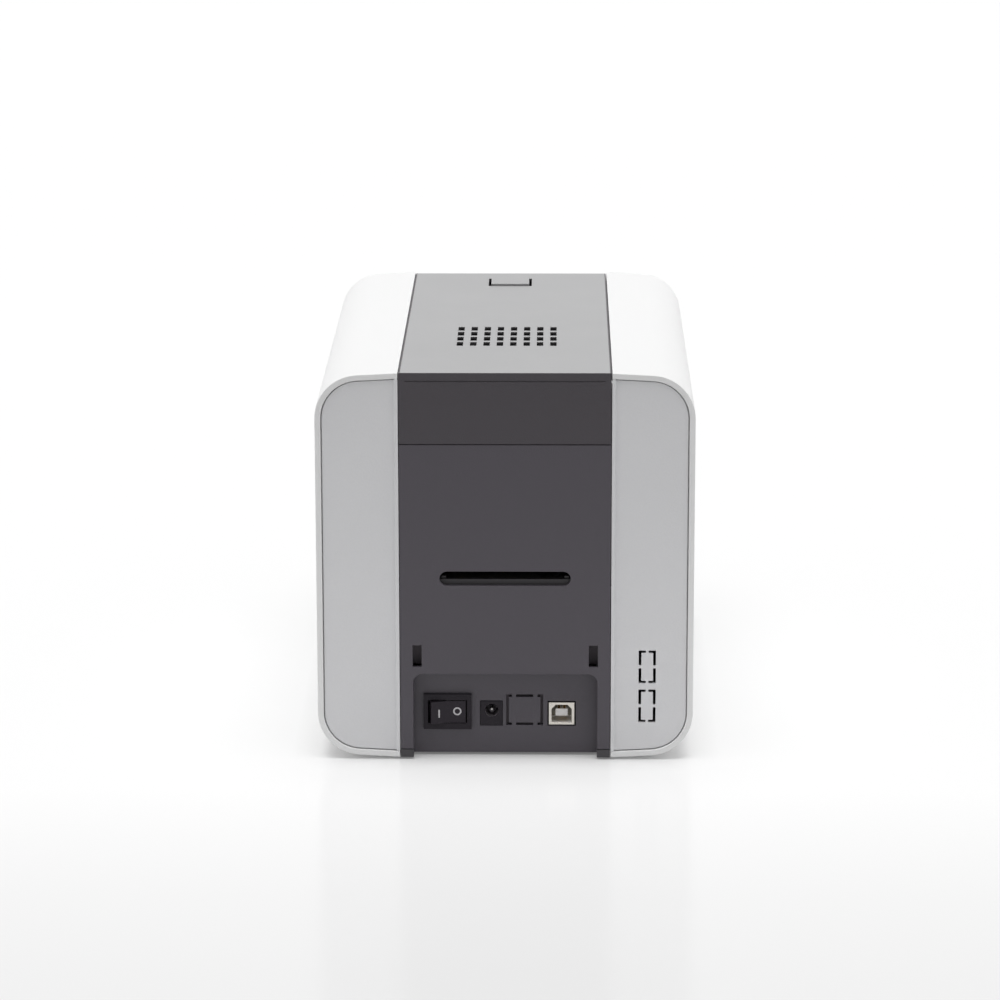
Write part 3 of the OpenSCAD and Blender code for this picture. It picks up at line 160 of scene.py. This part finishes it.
def new_material(name):
    """A new material with its nodes and links, ready for its colours."""
    finish = bpy.data.materials.new(name)
    finish.use_nodes = True
    return finish, finish.node_tree.nodes, finish.node_tree.links


# Each fade of the floor runs towards the printer: start and end on Y, then steps of how far
# along and how white. The first is what bounced light meets and the second what is seen, a
# painted fall-off of light that makes the seen floor darker towards the camera.
floor_fades = (
    ("A", -1.2, -0.2, ((0.0, 0.2), (1.0, 0.9), (0.45, 0.36), (0.72, 0.75), (0.86, 0.88))),
    ("B", -0.6, -0.1, ((0.0, 0.62), (1.0, 0.88), (0.28, 0.65), (0.47, 0.71), (0.76, 0.865))))
floor_roughness = 0.14
floor_gloss = 0.38
floor_half = 15
shadow_lift = 0.5
contact_lift = 0.3
contact_reach = 0.02
floor_white, nodes, links = new_material("floor_white")
shader = nodes["Principled BSDF"]
shader.inputs["Roughness"].default_value = floor_roughness
shader.inputs["Specular IOR Level"].default_value = floor_gloss
where = nodes.new("ShaderNodeTexCoord")
axes = nodes.new("ShaderNodeSeparateXYZ")
links.new(where.outputs["Object"], axes.inputs[0])
path = nodes.new("ShaderNodeLightPath")
shade = nodes.new("ShaderNodeMix")
shade.data_type = "RGBA"
links.new(path.outputs["Is Camera Ray"], shade.inputs["Factor"])
for target, near, far, stops in floor_fades:
    along = nodes.new("ShaderNodeMapRange")
    along.inputs["From Min"].default_value = near
    along.inputs["From Max"].default_value = far
    links.new(axes.outputs["Y"], along.inputs["Value"])
    fade = nodes.new("ShaderNodeValToRGB")
    for k, (start, white) in enumerate(stops):
        stop = fade.color_ramp.elements[k] if k < 2 else fade.color_ramp.elements.new(start)
        stop.position, stop.color = start, (white, white, white, 1)
    links.new(along.outputs["Result"], fade.inputs["Fac"])
    links.new(fade.outputs["Color"], shade.inputs[target])
links.new(shade.outputs["Result"], shader.inputs["Base Color"])
glow = nodes.new("ShaderNodeEmission")
lift = nodes.new("ShaderNodeMixShader")
open_floor = nodes.new("ShaderNodeAmbientOcclusion")
open_floor.inputs["Distance"].default_value = contact_reach
tree = floor_white.node_tree
clear = reckon(tree, "MAXIMUM", reckon(tree, "POWER", open_floor.outputs["AO"], 2), contact_lift)
clear = reckon(tree, "MULTIPLY", clear, shadow_lift)
links.new(reckon(tree, "MULTIPLY", path.outputs["Is Camera Ray"], clear), lift.inputs[0])
links.new(shader.outputs[0], lift.inputs[1])
links.new(glow.outputs[0], lift.inputs[2])
links.new(lift.outputs[0], nodes["Material Output"].inputs["Surface"])

shape = bmesh.new()
bmesh.ops.create_grid(shape, x_segments=2, y_segments=2, size=floor_half)
floor = new_object("floor", shape)
floor.data.materials.append(floor_white)


# Side covers
# Two mirror-image mouldings in white ABS, satin with a very fine spark-eroded grain. Each is
# an open channel that is screwed to its chassis plate, with a small radius on every rim.
MM = 0.001
cover_edge = 0.35
same_point = 2e-6
flat_enough = math.radians(0.4)


def moulded_grain():
    """Fine grain and slight unevenness of a moulded or painted surface, on object coordinates."""
    group = bpy.data.node_groups.new("moulded_grain", "ShaderNodeTree")
    for label, way, kind in (("Colour", "INPUT", "Color"), ("Roughness", "INPUT", "Float"),
                             ("Mottle", "INPUT", "Float"), ("Grain", "INPUT", "Float"),
                             ("Depth", "INPUT", "Float"), ("Colour", "OUTPUT", "Color"),
                             ("Roughness", "OUTPUT", "Float"), ("Normal", "OUTPUT", "Vector")):
        group.interface.new_socket(label, in_out=way, socket_type="NodeSocket" + kind)
    nodes, links = group.nodes, group.links
    given, result = nodes.new("NodeGroupInput"), nodes.new("NodeGroupOutput")
    where = nodes.new("ShaderNodeTexCoord")
    fine = nodes.new("ShaderNodeTexNoise")
    fine.inputs["Detail"].default_value = 2
    links.new(where.outputs["Object"], fine.inputs["Vector"])
    links.new(given.outputs["Grain"], fine.inputs["Scale"])
    broad = nodes.new("ShaderNodeTexNoise")
    broad.inputs["Scale"].default_value = 22
    broad.inputs["Detail"].default_value = 4
    links.new(where.outputs["Object"], broad.inputs["Vector"])
    uneven = reckon(group, "SUBTRACT", broad.outputs["Fac"], 0.5)
    speck = reckon(group, "SUBTRACT", fine.outputs["Fac"], 0.5)
    both = reckon(group, "ADD", uneven, speck)
    amount = reckon(group, "MULTIPLY_ADD", both, given.outputs["Mottle"], 1)
    tint = nodes.new("ShaderNodeVectorMath")
    tint.operation = "SCALE"
    links.new(given.outputs["Colour"], tint.inputs[0])
    links.new(amount, tint.inputs["Scale"])
    links.new(tint.outputs[0], result.inputs["Colour"])
    gloss = reckon(group, "MULTIPLY_ADD", uneven, 0.16, given.outputs["Roughness"])
    links.new(gloss, result.inputs["Roughness"])
    bump = nodes.new("ShaderNodeBump")
    bump.inputs["Strength"].default_value = 0.6
    links.new(fine.outputs["Fac"], bump.inputs["Height"])
    links.new(given.outputs["Depth"], bump.inputs["Distance"])
    links.new(bump.outputs[0], result.inputs["Normal"])
    return group


grain_group = moulded_grain()


def grained(name, colour, roughness, grain=2600, depth=0.00008, mottle=0.03, metallic=0.0,
            coat=0.0, specular=0.5):
    """A one-colour finish with its grain."""
    finish, nodes, links = new_material(name)
    shader = nodes["Principled BSDF"]
    skin = nodes.new("ShaderNodeGroup")
    skin.node_tree = grain_group
    skin.inputs["Colour"].default_value = colour
    skin.inputs["Roughness"].default_value = roughness
    skin.inputs["Mottle"].default_value = mottle
    skin.inputs["Grain"].default_value = grain
    skin.inputs["Depth"].default_value = depth
    links.new(skin.outputs["Colour"], shader.inputs["Base Color"])
    links.new(skin.outputs["Roughness"], shader.inputs["Roughness"])
    links.new(skin.outputs["Normal"], shader.inputs["Normal"])
    shader.inputs["Metallic"].default_value = metallic
    shader.inputs["Coat Weight"].default_value = coat
    shader.inputs["Specular IOR Level"].default_value = specular
    return finish


def dress(finish, *names):
    """Gives CAD pieces their finish."""
    for name in names:
        mesh = frame["nodes"][name].data
        mesh.materials.clear()
        mesh.materials.append(finish)


def rounded(node, radius, finish, segments=2, sharp=35, rim=None, rim_radius=0.0):
    """A copy of a CAD piece that takes its place, with the small edge radius in millimetres of
    the real one. rim is a test for the edges that get a wider radius."""
    source = frame["nodes"][node]
    shape = bmesh.new()
    shape.from_mesh(source.data)
    bmesh.ops.remove_doubles(shape, verts=shape.verts, dist=same_point)
    bmesh.ops.dissolve_limit(shape, angle_limit=flat_enough, verts=shape.verts,
                             edges=shape.edges)
    edges = [e for e in shape.edges
             if len(e.link_faces) == 2 and e.calc_face_angle() > math.radians(sharp)]
    wide = [e for e in edges if rim and rim(e)]
    plain = [e for e in edges if e not in wide]
    if wide:
        bmesh.ops.bevel(shape, geom=wide, offset=rim_radius * MM, offset_type="OFFSET",
                        affect="EDGES", segments=3, profile=0.5, material=-1)
        plain = [e for e in plain if e.is_valid]
    bmesh.ops.bevel(shape, geom=plain, offset=radius * MM, offset_type="OFFSET", affect="EDGES",
                    segments=segments, profile=0.5, material=-1, clamp_overlap=True)
    for face in shape.faces:
        face.smooth = True
    piece = new_object(node + "_soft", shape)
    piece.data.set_sharp_from_angle(angle=math.radians(sharp))
    even = piece.modifiers.new("even_shading", "WEIGHTED_NORMAL")
    even.keep_sharp = True
    piece.data.materials.append(finish)
    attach(piece, source["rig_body"])
    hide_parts(node)
    return piece


white_satin = grained("white_satin", tone(232, 232, 232), 0.42, mottle=0.02)
for side in ("left", "right"):
    rounded("side_cover_" + side, cover_edge, white_satin)


# Wing panels
# Inset end panels of the side covers, in the same white ABS with a coarser grain. The right
# one at the rear has two break-out blanks, each held by four corner slots.
white_grained = grained("white_grained", tone(219, 219, 221), 0.5, grain=1500, depth=0.00012,
                        mottle=0.05)
for side in ("rear_wing_left", "rear_wing_right", "front_wing_left", "front_wing_right"):
    rounded(side, 0.2, white_grained)


# Base
# A charcoal tray that carries everything, with four round rubber feet pressed into its floor.
base_plastic = grained("base_plastic", tone(62, 60, 63), 0.5)
foot_rubber = grained("foot_rubber", tone(26, 26, 26), 0.8, grain=900)
dress(base_plastic, "base_tray")
dress(foot_rubber, "rubber_feet")


# Chassis
# Two zinc-plated steel side plates, joined by turned tie bars with a screw in each end.
zinc = grained("zinc", tone(176, 178, 180), 0.34, grain=60, depth=0.00001, mottle=0.12,
               metallic=1.0)
screw_zinc = grained("screw_zinc", tone(150, 150, 152), 0.3, grain=400, mottle=0.05, metallic=1.0)
dress(zinc, "chassis_left", "chassis_right", "tie_bars", "latch_keeper", "head_bracket")
dress(screw_zinc, "fixing_screws")


# Rear panel
# The dark ABS panel of the centre column, with the card slot's raised lip, two small sockets,
# and the bay that the ports sit in. Foam seals lie behind the sockets and the break-out blank.
charcoal = grained("charcoal", tone(74, 70, 77), 0.46, grain=2000, depth=0.0001, mottle=0.05)
panel_edge = 0.25
bay_edge = 0.6
bay_top = 43 * MM
leg_width = 4 * MM
panel_skin = 0.3 * MM
panel_low, panel_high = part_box("rear_panel")


def on_bay_rim(edge):
    """True for an edge where the face of the panel turns into the port bay."""
    return all(v.co.y < panel_low.y + panel_skin and v.co.z < bay_top
               and abs(v.co.x) < panel_high.x - leg_width for v in edge.verts)


rounded("rear_panel", panel_edge, charcoal, rim=on_bay_rim, rim_radius=bay_edge)

seal_grey = grained("seal_grey", tone(104, 98, 104), 0.7)
seal_edge = 0.1 * MM
socket_seal = (8 * MM, 0.8 * MM, 12 * MM)
socket_seal_shift = Vector((0, 1 * MM, 0.5 * MM))
blank_seal = (18 * MM, 0.22 * MM, 15.6 * MM)
board_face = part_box("main_board")[0].y
blank_seal_place = Vector((9 * MM, board_face - 0.16 * MM, 22.1 * MM))
seals = [(blank_seal_place, blank_seal)]
for opening in frame["record"]["physics"]["openings"]:
    if opening["name"].startswith("socket_"):
        low, high = (Vector(corner) for corner in opening["box_m"])
        inner_end = Vector(((low.x + high.x) / 2, high.y, (low.z + high.z) / 2))
        seals.append((inner_end + socket_seal_shift, socket_seal))
shape = bmesh.new()
for middle, size in seals:
    bmesh.ops.create_cube(shape, size=1, matrix=Matrix.Translation(middle)
                          @ Matrix.Diagonal((*size, 1)))
bmesh.ops.bevel(shape, geom=shape.edges[:], offset=seal_edge, affect="EDGES", segments=1,
                profile=0.5, material=-1)
panel_seals = new_object("panel_seals", shape)
panel_seals.data.materials.append(seal_grey)
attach(panel_seals, "printer_body")


# Ports
# A rocker switch whose housing snaps into the panel, a DC jack with its centre pin, and a
# nickel-plated USB type B socket with a pale tongue. Jack and socket stand on the main board.
switch_black = grained("switch_black", tone(37, 33, 39), 0.4, grain=3000, specular=0.18)
rocker_black = grained("rocker_black", tone(40, 35, 42), 0.34, grain=3000, specular=0.2)
rounded("switch_housing", 0.3, switch_black)
rounded("switch_rocker", 0.25, rocker_black)


def inside_box():
    """Mask that is 1 inside a box given by its centre and half size, on object coordinates."""
    group = bpy.data.node_groups.new("inside_box", "ShaderNodeTree")
    for label in ("Centre", "Half"):
        group.interface.new_socket(label, in_out="INPUT", socket_type="NodeSocketVector")
    group.interface.new_socket("Mask", in_out="OUTPUT", socket_type="NodeSocketFloat")
    nodes, links = group.nodes, group.links
    given, result = nodes.new("NodeGroupInput"), nodes.new("NodeGroupOutput")
    where = nodes.new("ShaderNodeTexCoord")
    last = where.outputs["Object"]
    for operation, other in (("SUBTRACT", "Centre"), ("ABSOLUTE", None), ("SUBTRACT", "Half")):
        step = nodes.new("ShaderNodeVectorMath")
        step.operation = operation
        links.new(last, step.inputs[0])
        if other:
            links.new(given.outputs[other], step.inputs[1])
        last = step.outputs[0]
    axes = nodes.new("ShaderNodeSeparateXYZ")
    links.new(last, axes.inputs[0])
    largest = reckon(group, "MAXIMUM", axes.outputs["X"], axes.outputs["Y"])
    largest = reckon(group, "MAXIMUM", largest, axes.outputs["Z"])
    links.new(reckon(group, "LESS_THAN", largest, 0), result.inputs["Mask"])
    return group


box_group = inside_box()
ANYWHERE = 9


def layered(name, outer, *inner, specular=0.5):
    """Finish of a piece with parts in another colour, which are another material on some pieces
    and painted light or shade on others. outer is colour, roughness and metallic; each inner one
    is the same with the centre and half size of the box it fills."""
    finish = grained(name, outer[0], outer[1], grain=2400, specular=specular)
    nodes, links = finish.node_tree.nodes, finish.node_tree.links
    shader = nodes["Principled BSDF"]
    skin = next(n for n in nodes if n.type == "GROUP")
    targets = (skin.inputs["Colour"], skin.inputs["Roughness"], shader.inputs["Metallic"])
    last = [None, None, None]
    for look, centre, half in inner:
        mask = nodes.new("ShaderNodeGroup")
        mask.node_tree = box_group
        mask.inputs["Centre"].default_value = centre
        mask.inputs["Half"].default_value = half
        for k, value in enumerate(look):
            blend = nodes.new("ShaderNodeMix")
            blend.data_type = "FLOAT" if k else "RGBA"
            links.new(mask.outputs["Mask"], blend.inputs["Factor"])
            if last[k]:
                links.new(last[k], blend.inputs["A"])
            else:
                blend.inputs["A"].default_value = outer[k]
            blend.inputs["B"].default_value = value
            last[k] = blend.outputs["Result"]
    for source, target in zip(last, targets):
        links.new(source, target)
    return finish


nickel = (tone(205, 201, 194), 0.3, 0.9)
jack_low, jack_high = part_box("power_jack")
jack_depth = 6.4 * MM
jack_bore = 3.3 * MM
jack_shift, jack_rise = 0.2 * MM, 1.35 * MM
jack_pin = Vector(((jack_low.x + jack_high.x) / 2 + jack_shift, jack_low.y + 7 * MM,
                   (jack_low.z + jack_high.z) / 2 + jack_rise))
jack_glint = jack_pin + Vector((0, 0, 0.35 * MM))
jack_face = (tone(37, 33, 39), 0.42, 0.0)
# Painted light and shade in the jack: its bore is pale so that the inside reads as lit, the centre
# pin is dark as painted shade, and a small bright spot on top of the pin is a painted highlight.
jack_bore_light = ((tone(150, 145, 150), 0.5, 0.0), jack_pin, (jack_bore, jack_depth, jack_bore))
jack_pin_shade = ((tone(62, 60, 62), 0.3, 0.6), jack_pin, (1.3 * MM, jack_depth, 1.3 * MM))
jack_pin_highlight = ((tone(170, 168, 165), 0.3, 0.8), jack_glint, (0.4 * MM, jack_depth, 0.4 * MM))
jack_plastic_and_painted_light = layered("jack_plastic_and_painted_light", jack_face, jack_bore_light, jack_pin_shade, jack_pin_highlight,
                       specular=0.2)
rounded("power_jack", 0.2, jack_plastic_and_painted_light)

usb_low, usb_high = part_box("usb_port")
throat_across, throat_depth = 4.75 * MM, 4.7 * MM
tongue_across, tongue_depth, tongue_up = 2.95 * MM, 4.9 * MM, 1.8 * MM
usb_centre = Vector(((usb_low.x + usb_high.x) / 2, usb_low.y + 5 * MM,
                     (usb_low.z + usb_high.z) / 2))
tongue_centre = usb_centre + Vector((0, 0, 0.5 * MM))
floor_centre = usb_centre - Vector((0, 0, 3.9 * MM))
usb_throat = ((tone(172, 168, 158), 0.5, 0.2), usb_centre,
              (throat_across, throat_depth, 4.3 * MM))
usb_tongue = ((tone(222, 220, 218), 0.45, 0.0), tongue_centre,
              (tongue_across, tongue_depth, tongue_up))
# Painted light: the floor of the throat is near white so that it reads as lit from above.
usb_floor_light = ((tone(250, 248, 244), 0.4, 0.0), floor_centre,
             (throat_across, throat_depth, 0.5 * MM))
rounded("usb_port", 0.15, layered("usb_shell", nickel, usb_throat, usb_floor_light, usb_tongue))

gold = grained("gold", tone(226, 178, 92), 0.22, grain=500, mottle=0.04, metallic=1.0)
contact_across, contact_out, contact_up = 1.3 * MM, 0.2 * MM, 1.72 * MM
contact_size = (1.1 * MM, 8 * MM, 0.1 * MM)
contact_edge = 0.03 * MM
shape = bmesh.new()
for across, up in ((-1, 1), (1, 1), (-1, -1), (1, -1)):
    place = tongue_centre + Vector((across * contact_across, contact_out, up * contact_up))
    bmesh.ops.create_cube(shape, size=1, matrix=Matrix.Translation(place)
                          @ Matrix.Diagonal((*contact_size, 1)))
bmesh.ops.bevel(shape, geom=shape.edges[:], offset=contact_edge, affect="EDGES", segments=1,
                profile=0.5, material=-1)
usb_contacts = new_object("usb_contacts", shape)
usb_contacts.data.materials.append(gold)
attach(usb_contacts, "printer_body")

rocker_pivot = next(j["pos_m"] for j in frame["joints"] if j["name"] == "power_rocker_pivot")
rocker_tilt = math.radians(10)
face_rise, face_long = 1.4 * MM, 8.2 * MM
face_slope = math.atan2(face_rise, face_long)
face_out = 1.92 * MM


def on_rocker(across, up, slope):
    """Places a mark on one of the rocker's two faces: X along it, Y up, Z out of it."""
    facing = Matrix.Rotation(math.radians(90), 4, "X")
    return (Matrix.Translation(rocker_pivot) @ Matrix.Rotation(rocker_tilt, 4, "Z")
            @ Matrix.Translation((across, -face_out, up))
            @ Matrix.Rotation(slope, 4, "Z") @ facing)


def outline_edges(corners):
    """The edges that join an outline's corners, each of them once."""
    return list(dict.fromkeys(e for v in corners for e in v.link_edges))


def flat_ring(shape, outer, inner, thick):
    """A flat ring round Z, spun from a small oblong."""
    section = bmesh.ops.create_grid(shape, x_segments=1, y_segments=1, size=0.5)["verts"]
    bmesh.ops.delete(shape, geom=section[0].link_faces[:], context="FACES_ONLY")
    bmesh.ops.transform(shape, verts=section, matrix=Matrix.Translation(((outer + inner) / 2, 0, 0))
                        @ Matrix.Rotation(math.radians(90), 4, "X")
                        @ Matrix.Diagonal((outer - inner, thick, 1, 1)))
    bmesh.ops.spin(shape, geom=section + outline_edges(section), cent=(0, 0, 0),
                   axis=(0, 0, 1), angle=math.radians(360), steps=48, use_merge=True)


pale_mark = grained("pale_mark", tone(196, 194, 197), 0.5)
mark_thick = 0.12 * MM
mark_across = 4.3 * MM
ring_outer, ring_inner, ring_up = 1.95 * MM, 1.25 * MM, 0.3 * MM
bar_wide, bar_long, bar_up = 0.7 * MM, 3.8 * MM, -0.5 * MM
shape = bmesh.new()
flat_ring(shape, ring_outer, ring_inner, mark_thick)
bmesh.ops.transform(shape, matrix=on_rocker(mark_across, ring_up, -face_slope),
                    verts=shape.verts)
bmesh.ops.create_cube(shape, size=1, matrix=on_rocker(-mark_across, bar_up, face_slope)
                      @ Matrix.Diagonal((bar_wide, bar_long, mark_thick, 1)))
bmesh.ops.recalc_face_normals(shape, faces=shape.faces)
switch_marks = new_object("switch_marks", shape)
switch_marks.data.materials.append(pale_mark)
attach(switch_marks, "rocker")


# Boards
# Two circuit boards in green solder mask. Their parts are black chips, white connectors and
# small round capacitors, soldered on, and all of them get the black finish of the chips.
solder_mask = grained("solder_mask", tone(24, 78, 48), 0.3, grain=350, depth=0.00002, mottle=0.5,
                      coat=0.4)
chip_black = grained("chip_black", tone(40, 40, 42), 0.45)
dress(solder_mask, "main_board", "driver_board")
dress(chip_black, "board_parts")


# Card path
# A black moulded bed with slots for the rollers. Each roller is a steel shaft with a ground
# rubber sleeve, the pinch rollers above with a softer grey one.
bed_black = grained("bed_black", tone(42, 40, 43), 0.45)
flap_black = grained("flap_black", tone(56, 55, 58), 0.4)
dress(bed_black, "card_bed")
dress(flap_black, "diverter_flap")
ground_steel = (tone(190, 190, 192), 0.22, 1.0)
sleeve_half = 26.1 * MM
drive_rollers = ("rear_roller", "platen_roller", "front_roller", "feed_roller")
pinch_rollers = ("rear_pinch_roller", "front_pinch_roller")
for names, rubber in ((drive_rollers, tone(42, 42, 44)), (pinch_rollers, tone(92, 94, 98))):
    sleeve = ((rubber, 0.62, 0.0), (0, 0, 0), (sleeve_half, ANYWHERE, ANYWHERE))
    dress(layered("roller_" + names[0], ground_steel, sleeve), *names)


# Drive
# Acetal gear and flanged pulleys on the roller shafts in the left wing, a black rubber belt,
# a square stepper motor with a brass pinion, and a round motor for the ribbon.
acetal = grained("acetal", tone(226, 220, 200), 0.35)
belt_rubber = grained("belt_rubber", tone(30, 30, 30), 0.7, grain=1200)
motor_paint = grained("motor_paint", tone(60, 60, 63), 0.35, mottle=0.06)
motor_zinc = grained("motor_zinc", tone(168, 168, 170), 0.32, grain=120, mottle=0.08, metallic=1.0)
brass = grained("brass", tone(214, 176, 98), 0.24, grain=300, mottle=0.05, metallic=1.0)
dress(acetal, "platen_gear", "rear_pulley", "front_pulley", "feed_pulley")
dress(belt_rubber, "drive_belt")
dress(motor_paint, "stepper_motor")
dress(motor_zinc, "ribbon_motor")
dress(brass, "motor_pinion")


# Ribbon
# A pale cassette holds two spools of thin dye film. The film runs under two bars and the
# print head, and its panels follow each other in yellow, magenta, cyan and black.
cassette_grey = grained("cassette_grey", tone(206, 208, 210), 0.38)
dress(cassette_grey, "ribbon_cassette")
spool_plastic = (tone(196, 198, 202), 0.35, 0.0)
wound_half = 28.1 * MM
wound_film = ((tone(44, 30, 60), 0.16, 0.0), (0, 0, 0), (wound_half, ANYWHERE, ANYWHERE))
dress(layered("spool_finish", spool_plastic, wound_film), "supply_spool", "take_up_spool")
film_panels = ((0.0, tone(206, 178, 40)), (0.3, tone(160, 34, 92)), (0.62, tone(30, 104, 150)),
               (0.9, tone(30, 26, 34)))
dye_film, nodes, links = new_material("dye_film")
shader = nodes["Principled BSDF"]
where = nodes.new("ShaderNodeTexCoord")
axes = nodes.new("ShaderNodeSeparateXYZ")
links.new(where.outputs["Object"], axes.inputs[0])
film_low, film_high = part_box("ribbon_film")
along = nodes.new("ShaderNodeMapRange")
along.inputs["From Min"].default_value = film_low.y
along.inputs["From Max"].default_value = film_high.y
links.new(axes.outputs["Y"], along.inputs["Value"])
panels = nodes.new("ShaderNodeValToRGB")
panels.color_ramp.interpolation = "CONSTANT"
for k, (start, colour) in enumerate(film_panels):
    stop = panels.color_ramp.elements[k] if k < 2 else panels.color_ramp.elements.new(start)
    stop.position, stop.color = start, colour
links.new(along.outputs["Result"], panels.inputs["Fac"])
links.new(panels.outputs["Color"], shader.inputs["Base Color"])
ripple = nodes.new("ShaderNodeTexNoise")
ripple.inputs["Scale"].default_value = 90
links.new(where.outputs["Object"], ripple.inputs["Vector"])
bump = nodes.new("ShaderNodeBump")
bump.inputs["Strength"].default_value = 0.3
bump.inputs["Distance"].default_value = 0.0004
links.new(ripple.outputs["Fac"], bump.inputs["Height"])
links.new(bump.outputs[0], shader.inputs["Normal"])
shader.inputs["Roughness"].default_value = 0.14
dress(dye_film, "ribbon_film")


# Top cover
# The dark ABS shell of the hinged cover, whose own rear wall closes the column above the
# seam. It turns on two steel pins.
lid_plastic = grained("lid_plastic", tone(64, 60, 65), 0.46, grain=2000, depth=0.0001,
                      mottle=0.05)
rounded("cover_shell", 0.3, lid_plastic)
pin_steel = grained("pin_steel", tone(190, 190, 192), 0.2, grain=300, mottle=0.04, metallic=1.0)
dress(pin_steel, "hinge_pins")


# Silver top plate
# A plate in matt silver paint, let into the top of the cover, with 32 vents over the fan.
# The release button sits in a slot near its front end and has the same paint.
silver_paint = grained("silver_paint", tone(157, 157, 158), 0.42, grain=3200, depth=0.00005,
                       mottle=0.04)
# Painted shade: the upright walls inside the vents get this dark grey, so that the vents read as
# holes in shade.
vent_shade = grained("vent_shade", tone(62, 60, 62), 0.6)
top_plate = rounded("top_plate", 0.22, silver_paint)
top_plate.data.materials.append(vent_shade)
plate_rim = 1 * MM
plate_low, plate_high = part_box("top_plate")
for face in top_plate.data.polygons:
    inner = all(plate_low[k] + plate_rim < face.center[k] < plate_high[k] - plate_rim
                for k in (0, 1))
    upright = abs(face.normal.z) < 0.3
    if inner and upright:
        face.material_index = 1
rounded("release_button", 0.45, silver_paint, segments=3)


# Springs
# Spring steel wire: one coil spring under the release button, and two that press the print
# head down.
spring_steel = grained("spring_steel", tone(176, 178, 182), 0.22, grain=400, mottle=0.04,
                       metallic=1.0)


def coil_spring(shape, x, y, low, high, radius, wire, turns):
    """Winds a round wire upwards round a vertical axis."""
    steps = 20 * turns
    rise = (high - low - wire) / steps
    place = Matrix.Translation((x + radius, y, low + wire / 2))
    start = bmesh.ops.create_circle(shape, segments=8, radius=wire / 2, matrix=place
                                    @ Matrix.Rotation(math.radians(90), 4, "X"))["verts"]
    ends = bmesh.ops.spin(shape, geom=start + outline_edges(start), cent=(x, y, low),
                          axis=(0, 0, 1), dvec=(0, 0, rise), angle=math.radians(360 * turns),
                          steps=steps)
    last = [v for v in ends["geom_last"] if isinstance(v, bmesh.types.BMVert)]
    bmesh.ops.contextual_create(shape, geom=start)
    bmesh.ops.contextual_create(shape, geom=last)


def coils(name, shape, replaced):
    """Turns wound wire into a piece on the cover that stands for the CAD's plain tubes."""
    bmesh.ops.recalc_face_normals(shape, faces=shape.faces)
    for face in shape.faces:
        face.smooth = True
    piece = new_object(name, shape)
    piece.data.materials.append(spring_steel)
    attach(piece, "cover")
    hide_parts(replaced)
    return piece


button_coil_radius, button_wire, button_turns = 5.4 * MM, 0.9 * MM, 4
low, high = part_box("button_spring")
shape = bmesh.new()
coil_spring(shape, (low.x + high.x) / 2, (low.y + high.y) / 2, low.z, high.z,
            button_coil_radius, button_wire, button_turns)
button_coil = coils("button_coil", shape, "button_spring")
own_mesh(button_coil)

head_coil_radius, head_wire, head_turns = 1.8 * MM, 0.6 * MM, 14
head_coil_inset = 2.2 * MM
low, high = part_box("head_springs")
shape = bmesh.new()
for x in (low.x + head_coil_inset, high.x - head_coil_inset):
    coil_spring(shape, x, (low.y + high.y) / 2, low.z, high.z, head_coil_radius, head_wire,
                head_turns)
head_coils = coils("head_coils", shape, "head_springs")
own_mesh(head_coils)


# Latch
# A stamped steel lever under the top of the cover. The button's stem tips it, and its nose
# lets go of the keeper at the back of the hopper.
dress(zinc, "latch_hook")


# Print head
# A finned aluminium heat sink carries the black ceramic head with its thin heater line, and
# a small axial fan draws air through it and out of the vents.
aluminium = grained("aluminium", tone(196, 198, 200), 0.34, grain=160, mottle=0.06, metallic=1.0)
dress(aluminium, "heat_sink")
head_low, head_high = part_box("print_head")
head_ceramic = (tone(46, 42, 40), 0.3, 0.0)
heater_line = ((tone(150, 118, 62), 0.12, 0.0), (0, (head_low.y + head_high.y) / 2, head_low.z),
               (27 * MM, 0.5 * MM, 1 * MM))
dress(layered("ceramic", head_ceramic, heater_line), "print_head")
fan_black = grained("fan_black", tone(34, 34, 36), 0.45)
dress(fan_black, "cooling_fan", "fan_rotor")


# Front
# The dark front bezel between the two front wing panels, a round button in it, and a smoked
# window in the end of the cover for the status display.
rounded("front_bezel", 0.25, charcoal)
button_grey = grained("button_grey", tone(196, 196, 198), 0.36)
rounded("front_button", 0.5, button_grey, segments=3)
window_glass = grained("window_glass", tone(14, 15, 18), 0.08, depth=0.0, mottle=0.0, coat=0.6)
dress(window_glass, "display_window")


# Card hopper
# A dark box that holds the stack of blank cards over the feed roller. A steel weight presses
# on the cards, and a smoked cover turns up on two pins.
hopper_grey = grained("hopper_grey", tone(74, 73, 76), 0.46, grain=2000, depth=0.0001,
                      mottle=0.05)
rounded("card_hopper", 0.25, hopper_grey)
smoked = grained("smoked", tone(92, 92, 96), 0.2, depth=0.00002, mottle=0.02)
rounded("hopper_cover", 0.4, smoked)
weight_steel = grained("weight_steel", tone(120, 122, 126), 0.38, grain=200, mottle=0.08,
                       metallic=1.0)
rounded("pressure_weight", 0.3, weight_steel)


# Output tray
# An open tray that catches the printed cards, with a finger notch in its front wall.
rounded("output_tray", 0.4, hopper_grey)
